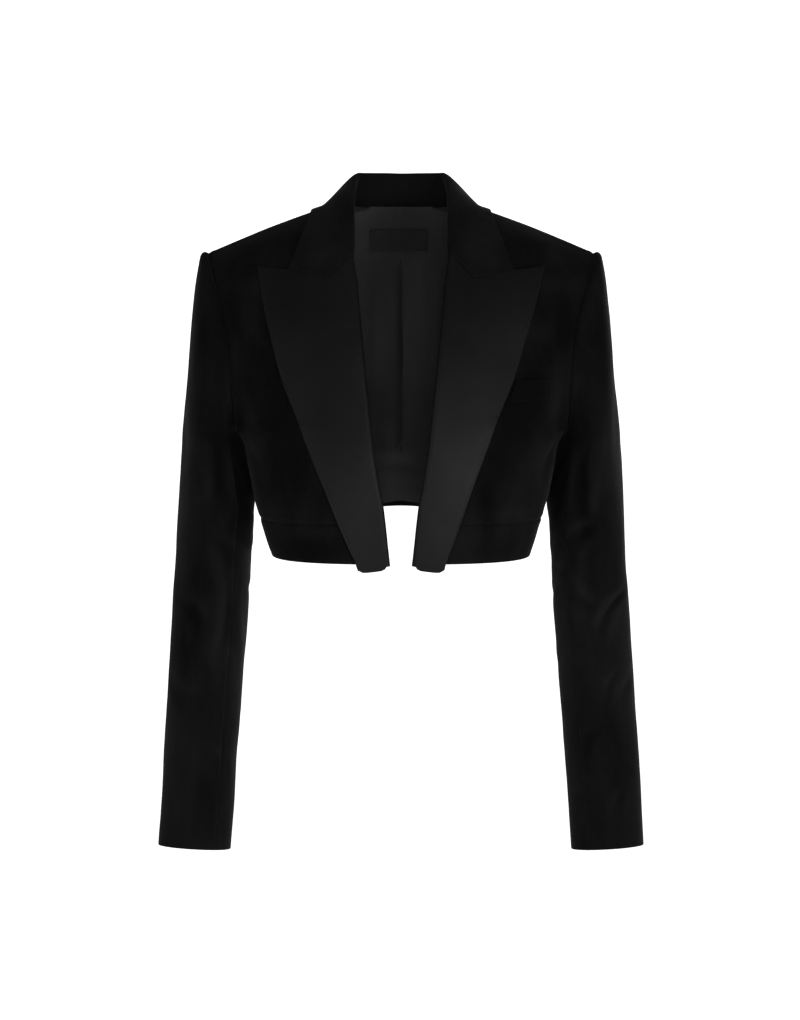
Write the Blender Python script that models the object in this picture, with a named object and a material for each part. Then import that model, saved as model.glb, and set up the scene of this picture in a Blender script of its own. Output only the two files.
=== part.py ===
"""Spencer jacket: a cropped velvet evening jacket with satin peak lapels, filled out as if worn.

Metres, +Z up. The front looks along -Y and +X is the wearer's left. The origin is on the centre
plane, where the outer edge of the collar crosses the shoulders. Lengths below are in millimetres
and solid() turns them into metres.
"""
import math
from collections import namedtuple

import bmesh
import bpy
import numpy as np
from mathutils import Vector
from mathutils.bvhtree import BVHTree

MM = 0.001
# Faces that meet at more than this angle, in degrees, meet at a sharp edge.
SHARP_FROM = 40

Finish = namedtuple("Finish", "colour roughness sheen")
VELVET = Finish((0.012, 0.012, 0.014), 0.9, 0.6)
SATIN = Finish((0.02, 0.02, 0.023), 0.35, 0.0)
LINING = Finish((0.022, 0.022, 0.025), 0.45, 0.0)
TAPE = Finish((0.03, 0.03, 0.033), 0.6, 0.0)

# Cloth
VELVET_WALL = 2.2
LAPEL_WALL = 1.6
COLLAR_WALL = 1.7
LINING_WALL = 1.0
LABEL_WALL = 1.0
WELT_WALL = 1.5
SEAM_GAP = 0.3
HALF_GAP = SEAM_GAP / 2
GORGE_HALF_GAP = 0.35
SLEEVE_HALF_GAP = 0.25

# Levels
HEM_Z = -347.5
UNDERARM_Z = -223.0
ARMHOLE_CENTRE_Y = 0.0
ARMHOLE_CENTRE_Z = -130.0
# At the underarm the walls of body and sleeve lean apart by this much of their thickness.
UNDERARM_SPREAD = 0.8

# Armhole, from the shoulder seam over the front, the underarm and the back. turn is the angle
# round the sleeve in degrees: 0 outside, 90 front, 180 against the body, 270 back.
Armhole = namedtuple("Armhole", "turn x y z")
ARMHOLE = [Armhole(*row) for row in (
    (0, 195.0, 5.0, -41.5),
    (12, 194.2, -2.5, -45.0),
    (25, 192.5, -11.0, -51.5),
    (48, 186.5, -28.0, -73.0),
    (70, 178.5, -41.5, -101.0),
    (90, 172.5, -49.0, -131.0),
    (110, 170.0, -50.0, -163.0),
    (129, 169.2, -43.5, -191.0),
    (146, 168.4, -31.0, -210.0),
    (163, 167.0, -15.5, -219.5),
    (180, 165.6, 0.0, -223.0),
    (197, 167.2, 18.0, -219.5),
    (211, 169.5, 35.0, -207.0),
    (225, 171.5, 48.0, -186.0),
    (246, 175.0, 57.0, -152.0),
    (268, 180.0, 57.5, -117.0),
    (290, 185.5, 49.0, -87.0),
    (308, 189.5, 37.5, -68.0),
    (323, 192.0, 27.5, -55.5),
    (336, 193.6, 19.0, -48.0),
    (348, 194.6, 12.0, -43.8),
    (360, 195.0, 5.0, -41.5),
)]
UNDERARM_TURN = 180

# Edge of the front, from below the hem up to the neck point. It is set back from the roll line
# by the radius of the lapel's fold.
FOLD_RADIUS = 3.5
FrontEdge = namedtuple("FrontEdge", "z x y")
FRONT_EDGE = [FrontEdge(*row) for row in (
    (-368.0, 11.0, -110.0),
    (-347.5, 14.1, -112.0),
    (-318.0, 17.2, -114.5),
    (-288.0, 20.6, -117.0),
    (-262.0, 25.6, -118.0),
    (-232.0, 30.0, -117.8),
    (-202.0, 33.3, -115.5),
    (-149.0, 38.7, -107.5),
    (-101.0, 43.4, -94.5),
    (-74.0, 45.6, -84.0),
    (-45.0, 50.4, -67.5),
    (-30.0, 54.3, -54.5),
    (-12.0, 58.4, -34.0),
    (2.0, 61.0, -12.0),
    (8.7, 61.5, 5.0),
)]

# Rows of the front below the underarm: the height at the front edge and at the side seam.
# square is the exponent of the section's curve, and slope that of its height.
SideRow = namedtuple("SideRow", "edge_z side_x side_z square slope")
FRONT_SIDE = [SideRow(*row) for row in (
    (-368.0, 127.0, -366.0, 3.3, 1.5),
    (-347.5, 131.0, -346.0, 3.2, 1.5),
    (-328.0, 137.2, -327.0, 3.1, 1.5),
    (-308.0, 142.8, -308.0, 2.9, 1.5),
    (-287.0, 148.6, -288.5, 2.7, 1.5),
    (-266.0, 152.6, -269.0, 2.5, 1.5),
    (-245.0, 156.0, -251.5, 2.4, 1.5),
    (-226.0, 159.6, -236.0, 2.3, 1.5),
)]
WAIST_ROW = 3

# Rows that end on the armhole. reach is how far the section has turned towards the side.
ArmRow = namedtuple("ArmRow", "edge_z reach square slope")
FRONT_ARM = [ArmRow(*row) for row in (
    (8.7, 0.30, 2.2, 1.13),
    (3.0, 0.36, 2.2, 1.15),
    (-9.0, 0.42, 2.2, 1.18),
    (-25.0, 0.52, 2.2, 1.22),
    (-45.0, 0.62, 2.2, 1.3),
    (-70.0, 0.70, 2.2, 1.4),
    (-98.0, 0.77, 2.2, 1.5),
    (-128.0, 0.84, 2.2, 1.5),
    (-157.0, 0.90, 2.25, 1.5),
    (-183.0, 0.96, 2.3, 1.5),
    (-206.0, 1.0, 2.3, 1.5),
)]

# Middle of the back and the neck, with the same columns and the place where each row starts.
BackSide = namedtuple("BackSide", "mid_y mid_z side_x side_z square slope")
BACK_SIDE = [BackSide(*row) for row in (
    (81.0, -305.5, 131.0, -346.0, 2.9, 2.0),
    (82.0, -287.0, 137.2, -327.0, 2.8, 2.0),
    (83.5, -268.0, 142.8, -308.0, 2.7, 2.0),
    (86.0, -247.0, 148.6, -288.5, 2.6, 1.9),
    (89.5, -225.0, 152.6, -269.0, 2.5, 1.8),
    (93.5, -203.0, 156.0, -251.5, 2.4, 1.8),
    (97.0, -181.0, 159.6, -236.0, 2.4, 1.7),
)]
BACK_WAIST_ROW = 2

BackArm = namedtuple("BackArm", "start_x start_y start_z reach square slope")
BACK_ARM = [BackArm(*row) for row in (
    (0.0, 99.3, -158.0, 1.0, 2.4, 1.7),
    (0.0, 100.5, -134.0, 0.96, 2.3, 1.6),
    (0.0, 100.5, -109.0, 0.92, 2.3, 1.6),
    (0.0, 98.5, -84.0, 0.88, 2.3, 1.5),
    (0.0, 94.3, -58.0, 0.80, 2.2, 1.5),
    (0.0, 88.0, -34.0, 0.72, 2.2, 1.4),
    (0.0, 79.8, -12.0, 0.64, 2.2, 1.35),
    (0.0, 72.0, 5.5, 0.56, 2.2, 1.3),
    (28.0, 68.0, 6.0, 0.48, 2.2, 1.22),
    (47.0, 51.0, 7.3, 0.42, 2.2, 1.18),
    (57.5, 28.0, 8.4, 0.36, 2.2, 1.15),
    (61.5, 5.0, 8.7, 0.30, 2.2, 1.13),
)]

# Sleeve below the underarm: middle and half sizes of the ring at each level. lean turns the
# ring towards the level cut across the bent arm.
Ring = namedtuple("Ring", "z mid_x mid_y half_x half_y lean")
SLEEVE = [Ring(*row) for row in (
    (-223.0, 194.1, 3.5, 27.9, 62.0, 0.0),
    (-236.0, 191.8, 3.5, 31.0, 61.8, 0.0),
    (-251.5, 190.6, 3.5, 33.6, 61.5, 0.0),
    (-269.0, 189.5, 3.3, 35.8, 61.0, 0.0),
    (-292.0, 188.2, 3.0, 38.5, 60.0, 0.0),
    (-334.0, 190.7, 0.5, 38.6, 57.5, 0.1),
    (-374.0, 192.9, -3.0, 38.7, 55.0, 0.25),
    (-415.0, 195.2, -7.5, 38.6, 52.8, 0.4),
    (-456.0, 197.9, -13.5, 38.2, 50.5, 0.55),
    (-496.0, 200.4, -20.0, 37.8, 48.3, 0.7),
    (-536.0, 203.2, -27.0, 37.5, 46.2, 0.85),
    (-576.0, 205.5, -34.0, 37.1, 44.4, 1.0),
    (-610.0, 207.6, -39.5, 36.8, 43.0, 1.0),
    (-642.0, 209.6, -44.5, 36.6, 42.0, 1.0),
)]
CUFF_RISE_X = 0.063
CUFF_RISE_Y = -0.128
SLEEVE_HEAD_LEAN = -0.087
SLEEVE_HEAD_SQUARE = 5.0
SLEEVE_SIDE_SQUARE = 2.3
SLEEVE_SQUARE_POWER = 1.5
FRONT_SEAM_TURN = 129
BACK_SEAM_TURN = 225
CAP_END_Z = -292.0
# Places down the cap, at the underarm and at the shoulder, where they crowd into its bend.
CAP_ROWS = 9
CAP_SHARES = np.linspace(0.0, 1.0, CAP_ROWS)
HEAD_SHARES = np.array((0.0, 0.03, 0.055, 0.1, 0.2, 0.38, 0.58, 0.79, 1.0))

# Collar stations from the middle of the back to the front: the crest of the fold, the seam at
# the neck, the outer edge of the fall, and how far its lines dip towards the gorge's corner.
Collar = namedtuple("Collar", "fold_x fold_y fold_z neck_x neck_y neck_z edge_x edge_y edge_z dip")
COLLAR = [Collar(*row) for row in (
    (0.0, 66.0, 40.3, 0.0, 72.0, 5.5, 0.0, 84.0, -6.0, 0.0),
    (20.0, 65.5, 40.6, 20.0, 70.0, 5.8, 30.0, 83.5, -6.5, 0.0),
    (37.0, 61.0, 40.6, 38.0, 61.0, 6.6, 58.0, 76.0, -7.0, 0.0),
    (45.6, 50.0, 39.6, 50.0, 46.0, 7.6, 79.0, 58.0, -6.0, 0.0),
    (47.6, 33.0, 32.0, 57.0, 29.0, 8.3, 87.5, 34.0, -3.5, 0.0),
    (49.0, 14.0, 22.8, 60.8, 11.0, 8.8, 89.5, 8.0, -2.0, 0.0),
    (49.3, -6.5, 11.8, 61.2, -9.0, 3.5, 91.0, -12.0, -10.0, 0.0),
    (49.0, -28.0, -2.0, 59.5, -27.0, -7.5, 95.2, -28.0, -22.0, 0.0),
    (48.6, -47.2, -18.4, 56.2, -45.0, -21.5, 102.0, -44.0, -37.5, 5.0),
    (48.1, -59.8, -31.6, 53.4, -57.0, -33.5, 106.6, -54.0, -48.5, 12.0),
)]
COLLAR_COLUMNS = 14
COLLAR_RADIUS = 2.8
COLLAR_ARC = 5
COLLAR_ARC_SHARE = 0.6
COLLAR_FALL = 6
COLLAR_END_TURN = 250.0
COLLAR_END_CLEAR = 0.4
FALL_ROUND = 1.35
FALL_LIFT = 1.6
COLLAR_LIFT = 0.8
DIP_SHARE = 0.35

# Lapel outline in the front view. The gorge is where the collar's end meets the lapel's top.
Spot = namedtuple("Spot", "x z")
GORGE_TOP = Spot(47.4, -45.0)
GORGE_CORNER = Spot(71.2, -67.3)
GORGE_END = Spot(111.2, -59.0)
PEAK_TIP = Spot(142.1, -55.7)
LAPEL_EDGE = [Spot(*row) for row in (
    (142.1, -55.7),
    (135.1, -88.0),
    (124.5, -127.0),
    (113.4, -165.0),
    (98.4, -202.0),
    (85.9, -237.0),
    (73.9, -268.0),
    (61.3, -302.5),
    (47.4, -338.0),
    (41.5, -351.0),
)]
LAPEL_FOOT = [Spot(*row) for row in (
    (10.5, -345.5),
    (16.5, -351.5),
    (28.0, -354.0),
    (37.0, -355.0),
    (41.5, -351.0),
)]
LAPEL_ROWS = 22
LAPEL_COLUMNS = 9
LAPEL_COLUMN_APART = 0.05
# How fast the shapes of the lapel's top and foot fade out along it.
LAPEL_TOP_FADE = 3
LAPEL_FOOT_FADE = 6
# Clearance over the front: its height and its height at the outer edge, the share of the width
# that it takes to come down from the roll, and how late it rises towards the edge.
LAPEL_LIFT = 0.9
LAPEL_EDGE_LIFT = 1.6
LAPEL_ROLL_SHARE = 0.15
LAPEL_EDGE_POWER = 3
LAPEL_RETURN = 5.0
# Angles round the fold, from the return inside the front to where the lapel lies on it.
HOOK_TURNS = (270, 225, 180, 135)
# The lapels hang unevenly: the one on the wearer's right lies this much wider at its middle.
LAPEL_SWING = 3.6

# Chest welt on the wearer's left
WELT_TOP = (Spot(113.0, -166.5), Spot(151.0, -165.5))
WELT_BOTTOM = (Spot(106.0, -187.0), Spot(148.8, -186.5))
WELT_ROWS = 3
WELT_COLUMNS = 6

# Lining and label
LINING_CLEAR = 1.6
LINING_ROWS = 15
LINING_COLUMNS = 11
LINING_TOP = [Spot(*row) for row in (
    (0.0, 4.7),
    (28.0, 5.0),
    (44.0, 5.2),
    (53.0, 1.5),
    (62.0, -6.0),
    (100.0, -25.0),
    (150.0, -46.0),
)]
LINING_HEM = [Spot(*row) for row in (
    (0.0, -300.0),
    (60.0, -308.0),
    (120.0, -332.0),
)]
LINING_FOOT_HALF_WIDTH = 96.0
LINING_HEAD_HALF_WIDTH = 116.0
PLEAT_TOP_Z = -44.0
PLEAT_END_Z = -252.0
PLEAT_SOFT = 12.0
PLEAT_XS = (0.0, 1.6, 4.5)
PLEAT_RISES = (1.4, 1.2, 0.0)
LABEL_MID_X = -2.0
LABEL_MID_Z = -27.0
LABEL_HALF_WIDTH = 31.0
LABEL_HALF_HEIGHT = 11.5
LABEL_COLUMNS = 7
# The body is seen whole from here: its outside faces away from this height on the axis.
BODY_MIDDLE_Z = -150.0

# The surface that pieces are laid on has this many rows and columns on each panel, and runs on
# past the front's edge by EDGE_SPARE.
SURFACE_ROWS = 120
SURFACE_COLUMNS = 70
EDGE_SPARE = 10.0
NORMAL_REACH = 2.5
FAR_AWAY = 400.0
FRONT_COLUMNS = 13
BACK_COLUMNS = 12
DENSE = 240


def clear_scene():
    for item in list(bpy.data.objects):
        bpy.data.objects.remove(item, do_unlink=True)


def collection(name):
    group = bpy.data.collections.new(name)
    bpy.context.scene.collection.children.link(group)
    return group


def material(name, finish):
    cloth = bpy.data.materials.new(name)
    cloth.use_nodes = True
    shader = cloth.node_tree.nodes["Principled BSDF"]
    shader.inputs["Base Color"].default_value = (*finish.colour, 1.0)
    shader.inputs["Roughness"].default_value = finish.roughness
    shader.inputs["Metallic"].default_value = 0.0
    shader.inputs["Sheen Weight"].default_value = finish.sheen
    return cloth


def smooth(at, values, places):
    """Cubic curve through values given at the rising numbers in at, read at the given places."""
    at = np.asarray(at, float)
    values = np.asarray(values, float)
    places = np.clip(np.asarray(places, float), at[0], at[-1])
    slopes = np.gradient(values, at, axis=0)
    k = np.clip(np.searchsorted(at, places, side="right") - 1, 0, len(at) - 2)
    step = at[k + 1] - at[k]
    t = (places - at[k]) / step
    if values.ndim > 1:
        t, step = t[..., None], step[..., None]
    start = (1 + 2 * t) * (1 - t) ** 2 * values[k] + t * (1 - t) ** 2 * step * slopes[k]
    end = t * t * (3 - 2 * t) * values[k + 1] + t * t * (t - 1) * step * slopes[k + 1]
    return start + end


def along(points, shares):
    """Points of a polyline at the given shares of its length."""
    points = np.asarray(points, float)
    steps = np.linalg.norm(np.diff(points, axis=0), axis=1)
    length = np.concatenate(([0.0], np.cumsum(steps)))
    wanted = np.asarray(shares) * length[-1]
    return np.stack([np.interp(wanted, length, points[:, axis]) for axis in range(3)], axis=1)


def unit(vectors):
    vectors = np.asarray(vectors, float)
    return vectors / np.linalg.norm(vectors, axis=-1, keepdims=True)


def armhole_point(turn):
    for row in ARMHOLE:
        if row.turn == turn:
            return np.array([row.x, row.y, row.z])
    raise ValueError(f"no armhole row at {turn}")


def front_edge(z):
    rows = np.array(FRONT_EDGE)
    x, y = smooth(rows[:, 0], rows[:, 1:], [z])[0]
    return np.array([x, y, z])


def front_rows():
    """Start, end, reach, square and slope of each row of a front, from below the hem upwards."""
    rows = []
    for row in FRONT_SIDE:
        end = np.array([row.side_x, 0.0, row.side_z])
        rows.append((front_edge(row.edge_z), end, 1.0, row.square, row.slope))
    arm = [place for place in ARMHOLE if place.turn <= UNDERARM_TURN]
    for row, place in zip(reversed(FRONT_ARM), reversed(arm)):
        end = np.array([place.x, place.y, place.z])
        rows.append((front_edge(row.edge_z), end, row.reach, row.square, row.slope))
    return rows


def back_rows():
    rows = []
    for row in BACK_SIDE:
        start = np.array([0.0, row.mid_y, row.mid_z])
        end = np.array([row.side_x, 0.0, row.side_z])
        rows.append((start, end, 1.0, row.square, row.slope))
    arm = [place for place in ARMHOLE if place.turn >= UNDERARM_TURN]
    for row, place in zip(BACK_ARM, arm):
        start = np.array([row.start_x, row.start_y, row.start_z])
        end = np.array([place.x, place.y, place.z])
        rows.append((start, end, row.reach, row.square, row.slope))
    return rows


def section(row, shares):
    """Points across a panel: part of a rounded-square curve that turns from front to side."""
    start, end, reach, square, slope = row
    f = 1.0 - (1.0 - np.linspace(0.0, 1.0, DENSE)) ** 2
    turned = 1.0 - np.maximum(1.0 - (f * reach) ** square, 0.0) ** (1.0 / square)
    turned = turned / turned[-1]
    x = start[0] + (end[0] - start[0]) * f
    y = start[1] + (end[1] - start[1]) * turned
    z = start[2] + (end[2] - start[2]) * f ** slope
    return along(np.stack([x, y, z], axis=1), shares)


def between_rows(rows, place):
    """The row at a place between the table's rows, counted from 0."""
    at = np.arange(len(rows))
    packed = np.array([np.concatenate([s, e, [r, q, h]]) for s, e, r, q, h in rows])
    values = smooth(at, packed, [place])[0]
    return values[:3], values[3:6], min(values[6], 1.0), values[7], values[8]


def panel(rows, columns):
    """A panel's grid of points, with one line across it for each row of its table."""
    shares = np.linspace(0.0, 1.0, columns)
    return np.array([section(row, shares) for row in rows])


def normals(grid):
    """Unit normals of a grid of points, along rows crossed with along columns."""
    across = np.gradient(grid, axis=1)
    up = np.gradient(grid, axis=0)
    return unit(np.cross(across, up))


def flatten(directions, axis):
    directions = directions.copy()
    directions[..., axis] = 0.0
    return unit(directions)


def armhole_facing(turns, side):
    """Which way a wall faces where it meets the armhole: side is -1 for the body, 1 a sleeve."""
    directions = []
    for turn in turns:
        place = armhole_point(turn)
        towards = unit([0.0, ARMHOLE_CENTRE_Y - place[1], ARMHOLE_CENTRE_Z - place[2]])
        towards[0] = side * UNDERARM_SPREAD * max(0.0, -math.cos(math.radians(turn))) ** 2
        directions.append(-unit(towards))
    return np.array(directions)


def solid(group, cloth, name, outer, inner, mirror=False):
    """A closed wall between two grids of points, joined round their border."""
    rows, columns = outer.shape[:2]
    body = bmesh.new()
    faces = [[[body.verts.new(Vector(point) * MM) for point in row] for row in grid]
             for grid in (outer, inner)]
    for side in faces:
        for i in range(rows - 1):
            for j in range(columns - 1):
                corners = (side[i][j], side[i][j + 1], side[i + 1][j + 1], side[i + 1][j])
                body.faces.new(corners)
    border = [(0, j) for j in range(columns)]
    border += [(i, columns - 1) for i in range(1, rows)]
    border += [(rows - 1, j) for j in range(columns - 2, -1, -1)]
    border += [(i, 0) for i in range(rows - 2, 0, -1)]
    for (a, b), (c, d) in zip(border, border[1:] + border[:1]):
        body.faces.new((faces[0][a][b], faces[0][c][d], faces[1][c][d], faces[1][a][b]))
    if mirror:
        for vert in body.verts:
            vert.co.x = -vert.co.x
    bmesh.ops.recalc_face_normals(body, faces=body.faces)
    mesh = bpy.data.meshes.new(name)
    body.to_mesh(mesh)
    body.free()
    mesh.materials.append(cloth)
    mesh.shade_smooth()
    mesh.set_sharp_from_angle(angle=math.radians(SHARP_FROM))
    group.objects.link(bpy.data.objects.new(name, mesh))


def make_fronts(group, cloth):
    """Both fronts above the waist seam, and their bands below it."""
    outer = panel(front_rows(), FRONT_COLUMNS)
    facing = normals(outer)
    arm_start = len(FRONT_SIDE)
    facing[:arm_start, -1] = flatten(facing[:arm_start, -1], 1)
    turns = [place.turn for place in ARMHOLE if place.turn <= UNDERARM_TURN]
    facing[arm_start:, -1] = armhole_facing(turns[::-1], -1.0)
    facing[-1] = flatten(facing[-1], 1)
    facing[WAIST_ROW] = flatten(facing[WAIST_ROW], 2)
    outer[:arm_start + 1, -1, 1] = -HALF_GAP
    outer[arm_start:, -1, 0] -= HALF_GAP
    outer[-1, :, 1] -= HALF_GAP
    inner = outer - facing * VELVET_WALL
    upper = slice(WAIST_ROW, None)
    band = slice(1, WAIST_ROW + 1)
    raised = np.zeros_like(outer[upper])
    raised[0, :, 2] = HALF_GAP
    lowered = np.zeros_like(outer[band])
    lowered[-1, :, 2] = -HALF_GAP
    for side, mirror in (("left", False), ("right", True)):
        solid(group, cloth, f"front_{side}", outer[upper] + raised, inner[upper] + raised, mirror)
        solid(group, cloth, f"front_band_{side}", outer[band] + lowered, inner[band] + lowered,
              mirror)


def make_backs(group, cloth):
    """Both backs with the seam between them, and the one band that runs below both."""
    rows = back_rows()
    outer = panel(rows, BACK_COLUMNS)
    facing = -normals(outer)
    arm_start = len(BACK_SIDE)
    neck_row = next(i for i, row in enumerate(rows) if row[0][0] > 0) - 1
    facing[:neck_row + 1, 0] = flatten(facing[:neck_row + 1, 0], 0)
    facing[:arm_start, -1] = flatten(facing[:arm_start, -1], 1)
    turns = [place.turn for place in ARMHOLE if place.turn >= UNDERARM_TURN]
    facing[arm_start:, -1] = armhole_facing(turns, -1.0)
    facing[-1] = flatten(facing[-1], 1)
    facing[BACK_WAIST_ROW] = flatten(facing[BACK_WAIST_ROW], 2)
    outer[:arm_start + 1, -1, 1] = HALF_GAP
    outer[arm_start:, -1, 0] -= HALF_GAP
    outer[-1, :, 1] += HALF_GAP
    whole = outer.copy()
    outer[:neck_row + 1, 0, 0] = HALF_GAP
    inner = outer - facing * VELVET_WALL
    upper = slice(BACK_WAIST_ROW, None)
    raised = np.zeros_like(outer[upper])
    raised[0, :, 2] = HALF_GAP
    for side, mirror in (("left", False), ("right", True)):
        solid(group, cloth, f"back_{side}", outer[upper] + raised, inner[upper] + raised, mirror)
    band = slice(0, BACK_WAIST_ROW + 1)
    half_outer = whole[band].copy()
    half_inner = half_outer - facing[band] * VELVET_WALL
    half_outer[-1, :, 2] -= HALF_GAP
    half_inner[-1, :, 2] -= HALF_GAP
    flip = np.array([-1.0, 1.0, 1.0])
    both = [np.concatenate([grid[:, :0:-1] * flip, grid], axis=1)
            for grid in (half_outer, half_inner)]
    solid(group, cloth, "back_band", both[0], both[1])


def ring_point(turn, z_level):
    """A point of the sleeve below the underarm, at an angle round it."""
    rows = np.array(SLEEVE)
    at = -rows[:, 0]
    mid_x, mid_y, half_x, half_y, lean = smooth(at, rows[:, 1:], [-z_level])[0]
    angle = math.radians(turn)
    x = half_x * math.cos(angle)
    y = -half_y * math.sin(angle)
    z = z_level + lean * (CUFF_RISE_X * x + CUFF_RISE_Y * y)
    return np.array([mid_x + x, mid_y + y, z])


def sleeve_line(turn):
    """One line down the sleeve, from the armhole to the cuff."""
    top = armhole_point(turn)
    top[0] += HALF_GAP
    biceps = ring_point(turn, UNDERARM_Z)
    outward = max(math.cos(math.radians(turn)), 0.0)
    square = SLEEVE_SIDE_SQUARE
    square += (SLEEVE_HEAD_SQUARE - SLEEVE_SIDE_SQUARE) * outward ** SLEEVE_SQUARE_POWER
    lean = np.array([SLEEVE_HEAD_LEAN * outward, 0.0])
    height = top[2] - biceps[2]
    spare = top[:2] - biceps[:2] - lean * height
    cap = [top]
    for step in range(1, DENSE):
        phi = math.pi / 2 * (1.0 - step / (DENSE - 1))
        rise = height * math.sin(phi) ** (2.0 / square)
        inwards = 1.0 - math.cos(phi) ** (2.0 / square)
        flat = biceps[:2] + lean * rise + spare * inwards
        cap.append(np.array([flat[0], flat[1], biceps[2] + rise]))
    for z in np.linspace(UNDERARM_Z, CAP_END_Z, DENSE)[1:]:
        cap.append(ring_point(turn, z))
    upper = along(cap, CAP_SHARES + (HEAD_SHARES - CAP_SHARES) * outward)
    lower = [ring_point(turn, row.z) for row in SLEEVE if row.z < CAP_END_Z]
    return np.concatenate([upper, lower])


def make_sleeves(group, cloth):
    """Top and under sleeve of both arms, from one tube of lines cut at the two seams."""
    turns = [row.turn for row in ARMHOLE]
    lines = np.array([sleeve_line(turn) for turn in turns])
    around = np.concatenate([lines[-2:-1], lines, lines[1:2]])
    facing = unit(np.cross(np.gradient(around, axis=0), np.gradient(around, axis=1)))[1:-1]
    round_arm = unit(np.gradient(around, axis=0))[1:-1]
    facing[:, 0] = armhole_facing(turns, 1.0)
    facing[:, -1] = flatten(facing[:, -1], 2)
    top_columns = [i for i, turn in enumerate(turns) if turn >= BACK_SEAM_TURN]
    top_columns += [i for i, turn in enumerate(turns) if 0 < turn <= FRONT_SEAM_TURN]
    under_columns = [i for i, turn in enumerate(turns)
                     if FRONT_SEAM_TURN <= turn <= BACK_SEAM_TURN]
    for name, columns in (("top_sleeve", top_columns), ("under_sleeve", under_columns)):
        grid = lines[columns].copy()
        grid[0] += round_arm[columns[0]] * SLEEVE_HALF_GAP
        grid[-1] -= round_arm[columns[-1]] * SLEEVE_HALF_GAP
        inner = grid - facing[columns] * VELVET_WALL
        for side, mirror in (("left", False), ("right", True)):
            solid(group, cloth, f"{name}_{side}", grid, inner, mirror)


class Surface:
    """The outside of the body on the wearer's left and right, to lay other pieces on."""

    def __init__(self):
        shares = np.linspace(0.0, 1.0, SURFACE_COLUMNS)
        points, faces = [], []
        for rows, turned in ((front_rows(), False), (back_rows(), True)):
            places = np.linspace(0, len(rows) - 1, SURFACE_ROWS)
            grid = np.array([section(between_rows(rows, place), shares) for place in places])
            if not turned:
                ahead = grid[:, :1] - np.array([EDGE_SPARE, 0.0, 0.0])
                grid = np.concatenate([ahead, grid], axis=1)
            wide = grid.shape[1]
            for mirror in (False, True):
                flip = -1.0 if mirror else 1.0
                first = len(points)
                points += [(x * flip, y, z) for row in grid for x, y, z in row]
                for i in range(len(places) - 1):
                    for j in range(wide - 1):
                        a = first + i * wide + j
                        quad = (a, a + 1, a + wide + 1, a + wide)
                        faces.append(quad if turned == mirror else quad[::-1])
        self.tree = BVHTree.FromPolygons(points, faces)

    def outward(self, hit, normal):
        """The place and its normal, turned to point out of the body."""
        hit, normal = np.array(hit), np.array(normal)
        away = hit - np.array([0.0, 0.0, BODY_MIDDLE_Z])
        return hit, normal if np.dot(normal, away) > 0 else -normal

    def seen(self, x, z, side):
        """The place at x and z seen from the front (side -1) or back (1), and its normal."""
        start = Vector((x, side * FAR_AWAY, z))
        hit, normal, _, _ = self.tree.ray_cast(start, Vector((0.0, -side, 0.0)))
        if hit is None:
            raise ValueError(f"nothing at x {x} z {z}")
        return self.outward(hit, normal)

    def softened(self, x, z, side=-1.0):
        """The same, with the normal averaged over a few millimetres.

        On the back it looks only level and downwards, because the neck's edge is just above.
        """
        place, _ = self.seen(x, z, side)
        total = np.zeros(3)
        for dx in (-NORMAL_REACH, 0.0, NORMAL_REACH):
            for dz in (-NORMAL_REACH, 0.0, NORMAL_REACH):
                if dz <= 0.0 or side < 0.0:
                    total += self.seen(x + dx, z + dz, side)[1]
        return place, unit(total)

    def lifted(self, point, clear):
        """The point, moved out along the nearest normal until it is that clear of the body."""
        hit, normal, _, _ = self.tree.find_nearest(Vector(point))
        hit, normal = self.outward(hit, normal)
        height = float(np.dot(np.asarray(point) - hit, normal))
        if height < clear:
            return np.asarray(point) + normal * (clear - height)
        return np.asarray(point)


def polyline_at(spots, shares):
    points = [(spot.x, 0.0, spot.z) for spot in spots]
    return along(points, shares)


def panel_edge(z):
    """A point of the front's edge as it is built, straight between its rows."""
    starts = np.array([row[0] for row in front_rows()])
    return np.array([np.interp(z, starts[:, 2], starts[:, axis]) for axis in range(3)])


def swing(z):
    """How far the lapels' outer edges lie off their mean place, at each height."""
    middle = (PEAK_TIP.z + HEM_Z) / 2
    half = (PEAK_TIP.z - HEM_Z) / 2
    return LAPEL_SWING * max(0.0, 1.0 - ((z - middle) / half) ** 2)


def lapel_outline(side):
    """Fold line and outer edge of a lapel in the front view, from its foot to its top."""
    edge_rows = np.array(FRONT_EDGE)
    shares = np.linspace(0.0, 1.0, LAPEL_ROWS)
    foot_z = LAPEL_FOOT[0].z
    fold_z = foot_z + (GORGE_TOP.z - foot_z) * shares
    fold_x = smooth(edge_rows[:, 0], edge_rows[:, 1], fold_z)
    dense = np.array(LAPEL_EDGE[::-1])
    steps = np.concatenate(([0.0], np.cumsum(np.linalg.norm(np.diff(dense, axis=0), axis=1))))
    outer = smooth(steps, dense, shares * steps[-1])
    outer[:, 0] -= side * np.array([swing(z) for z in outer[:, 1]])
    return fold_x, fold_z, outer


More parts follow.
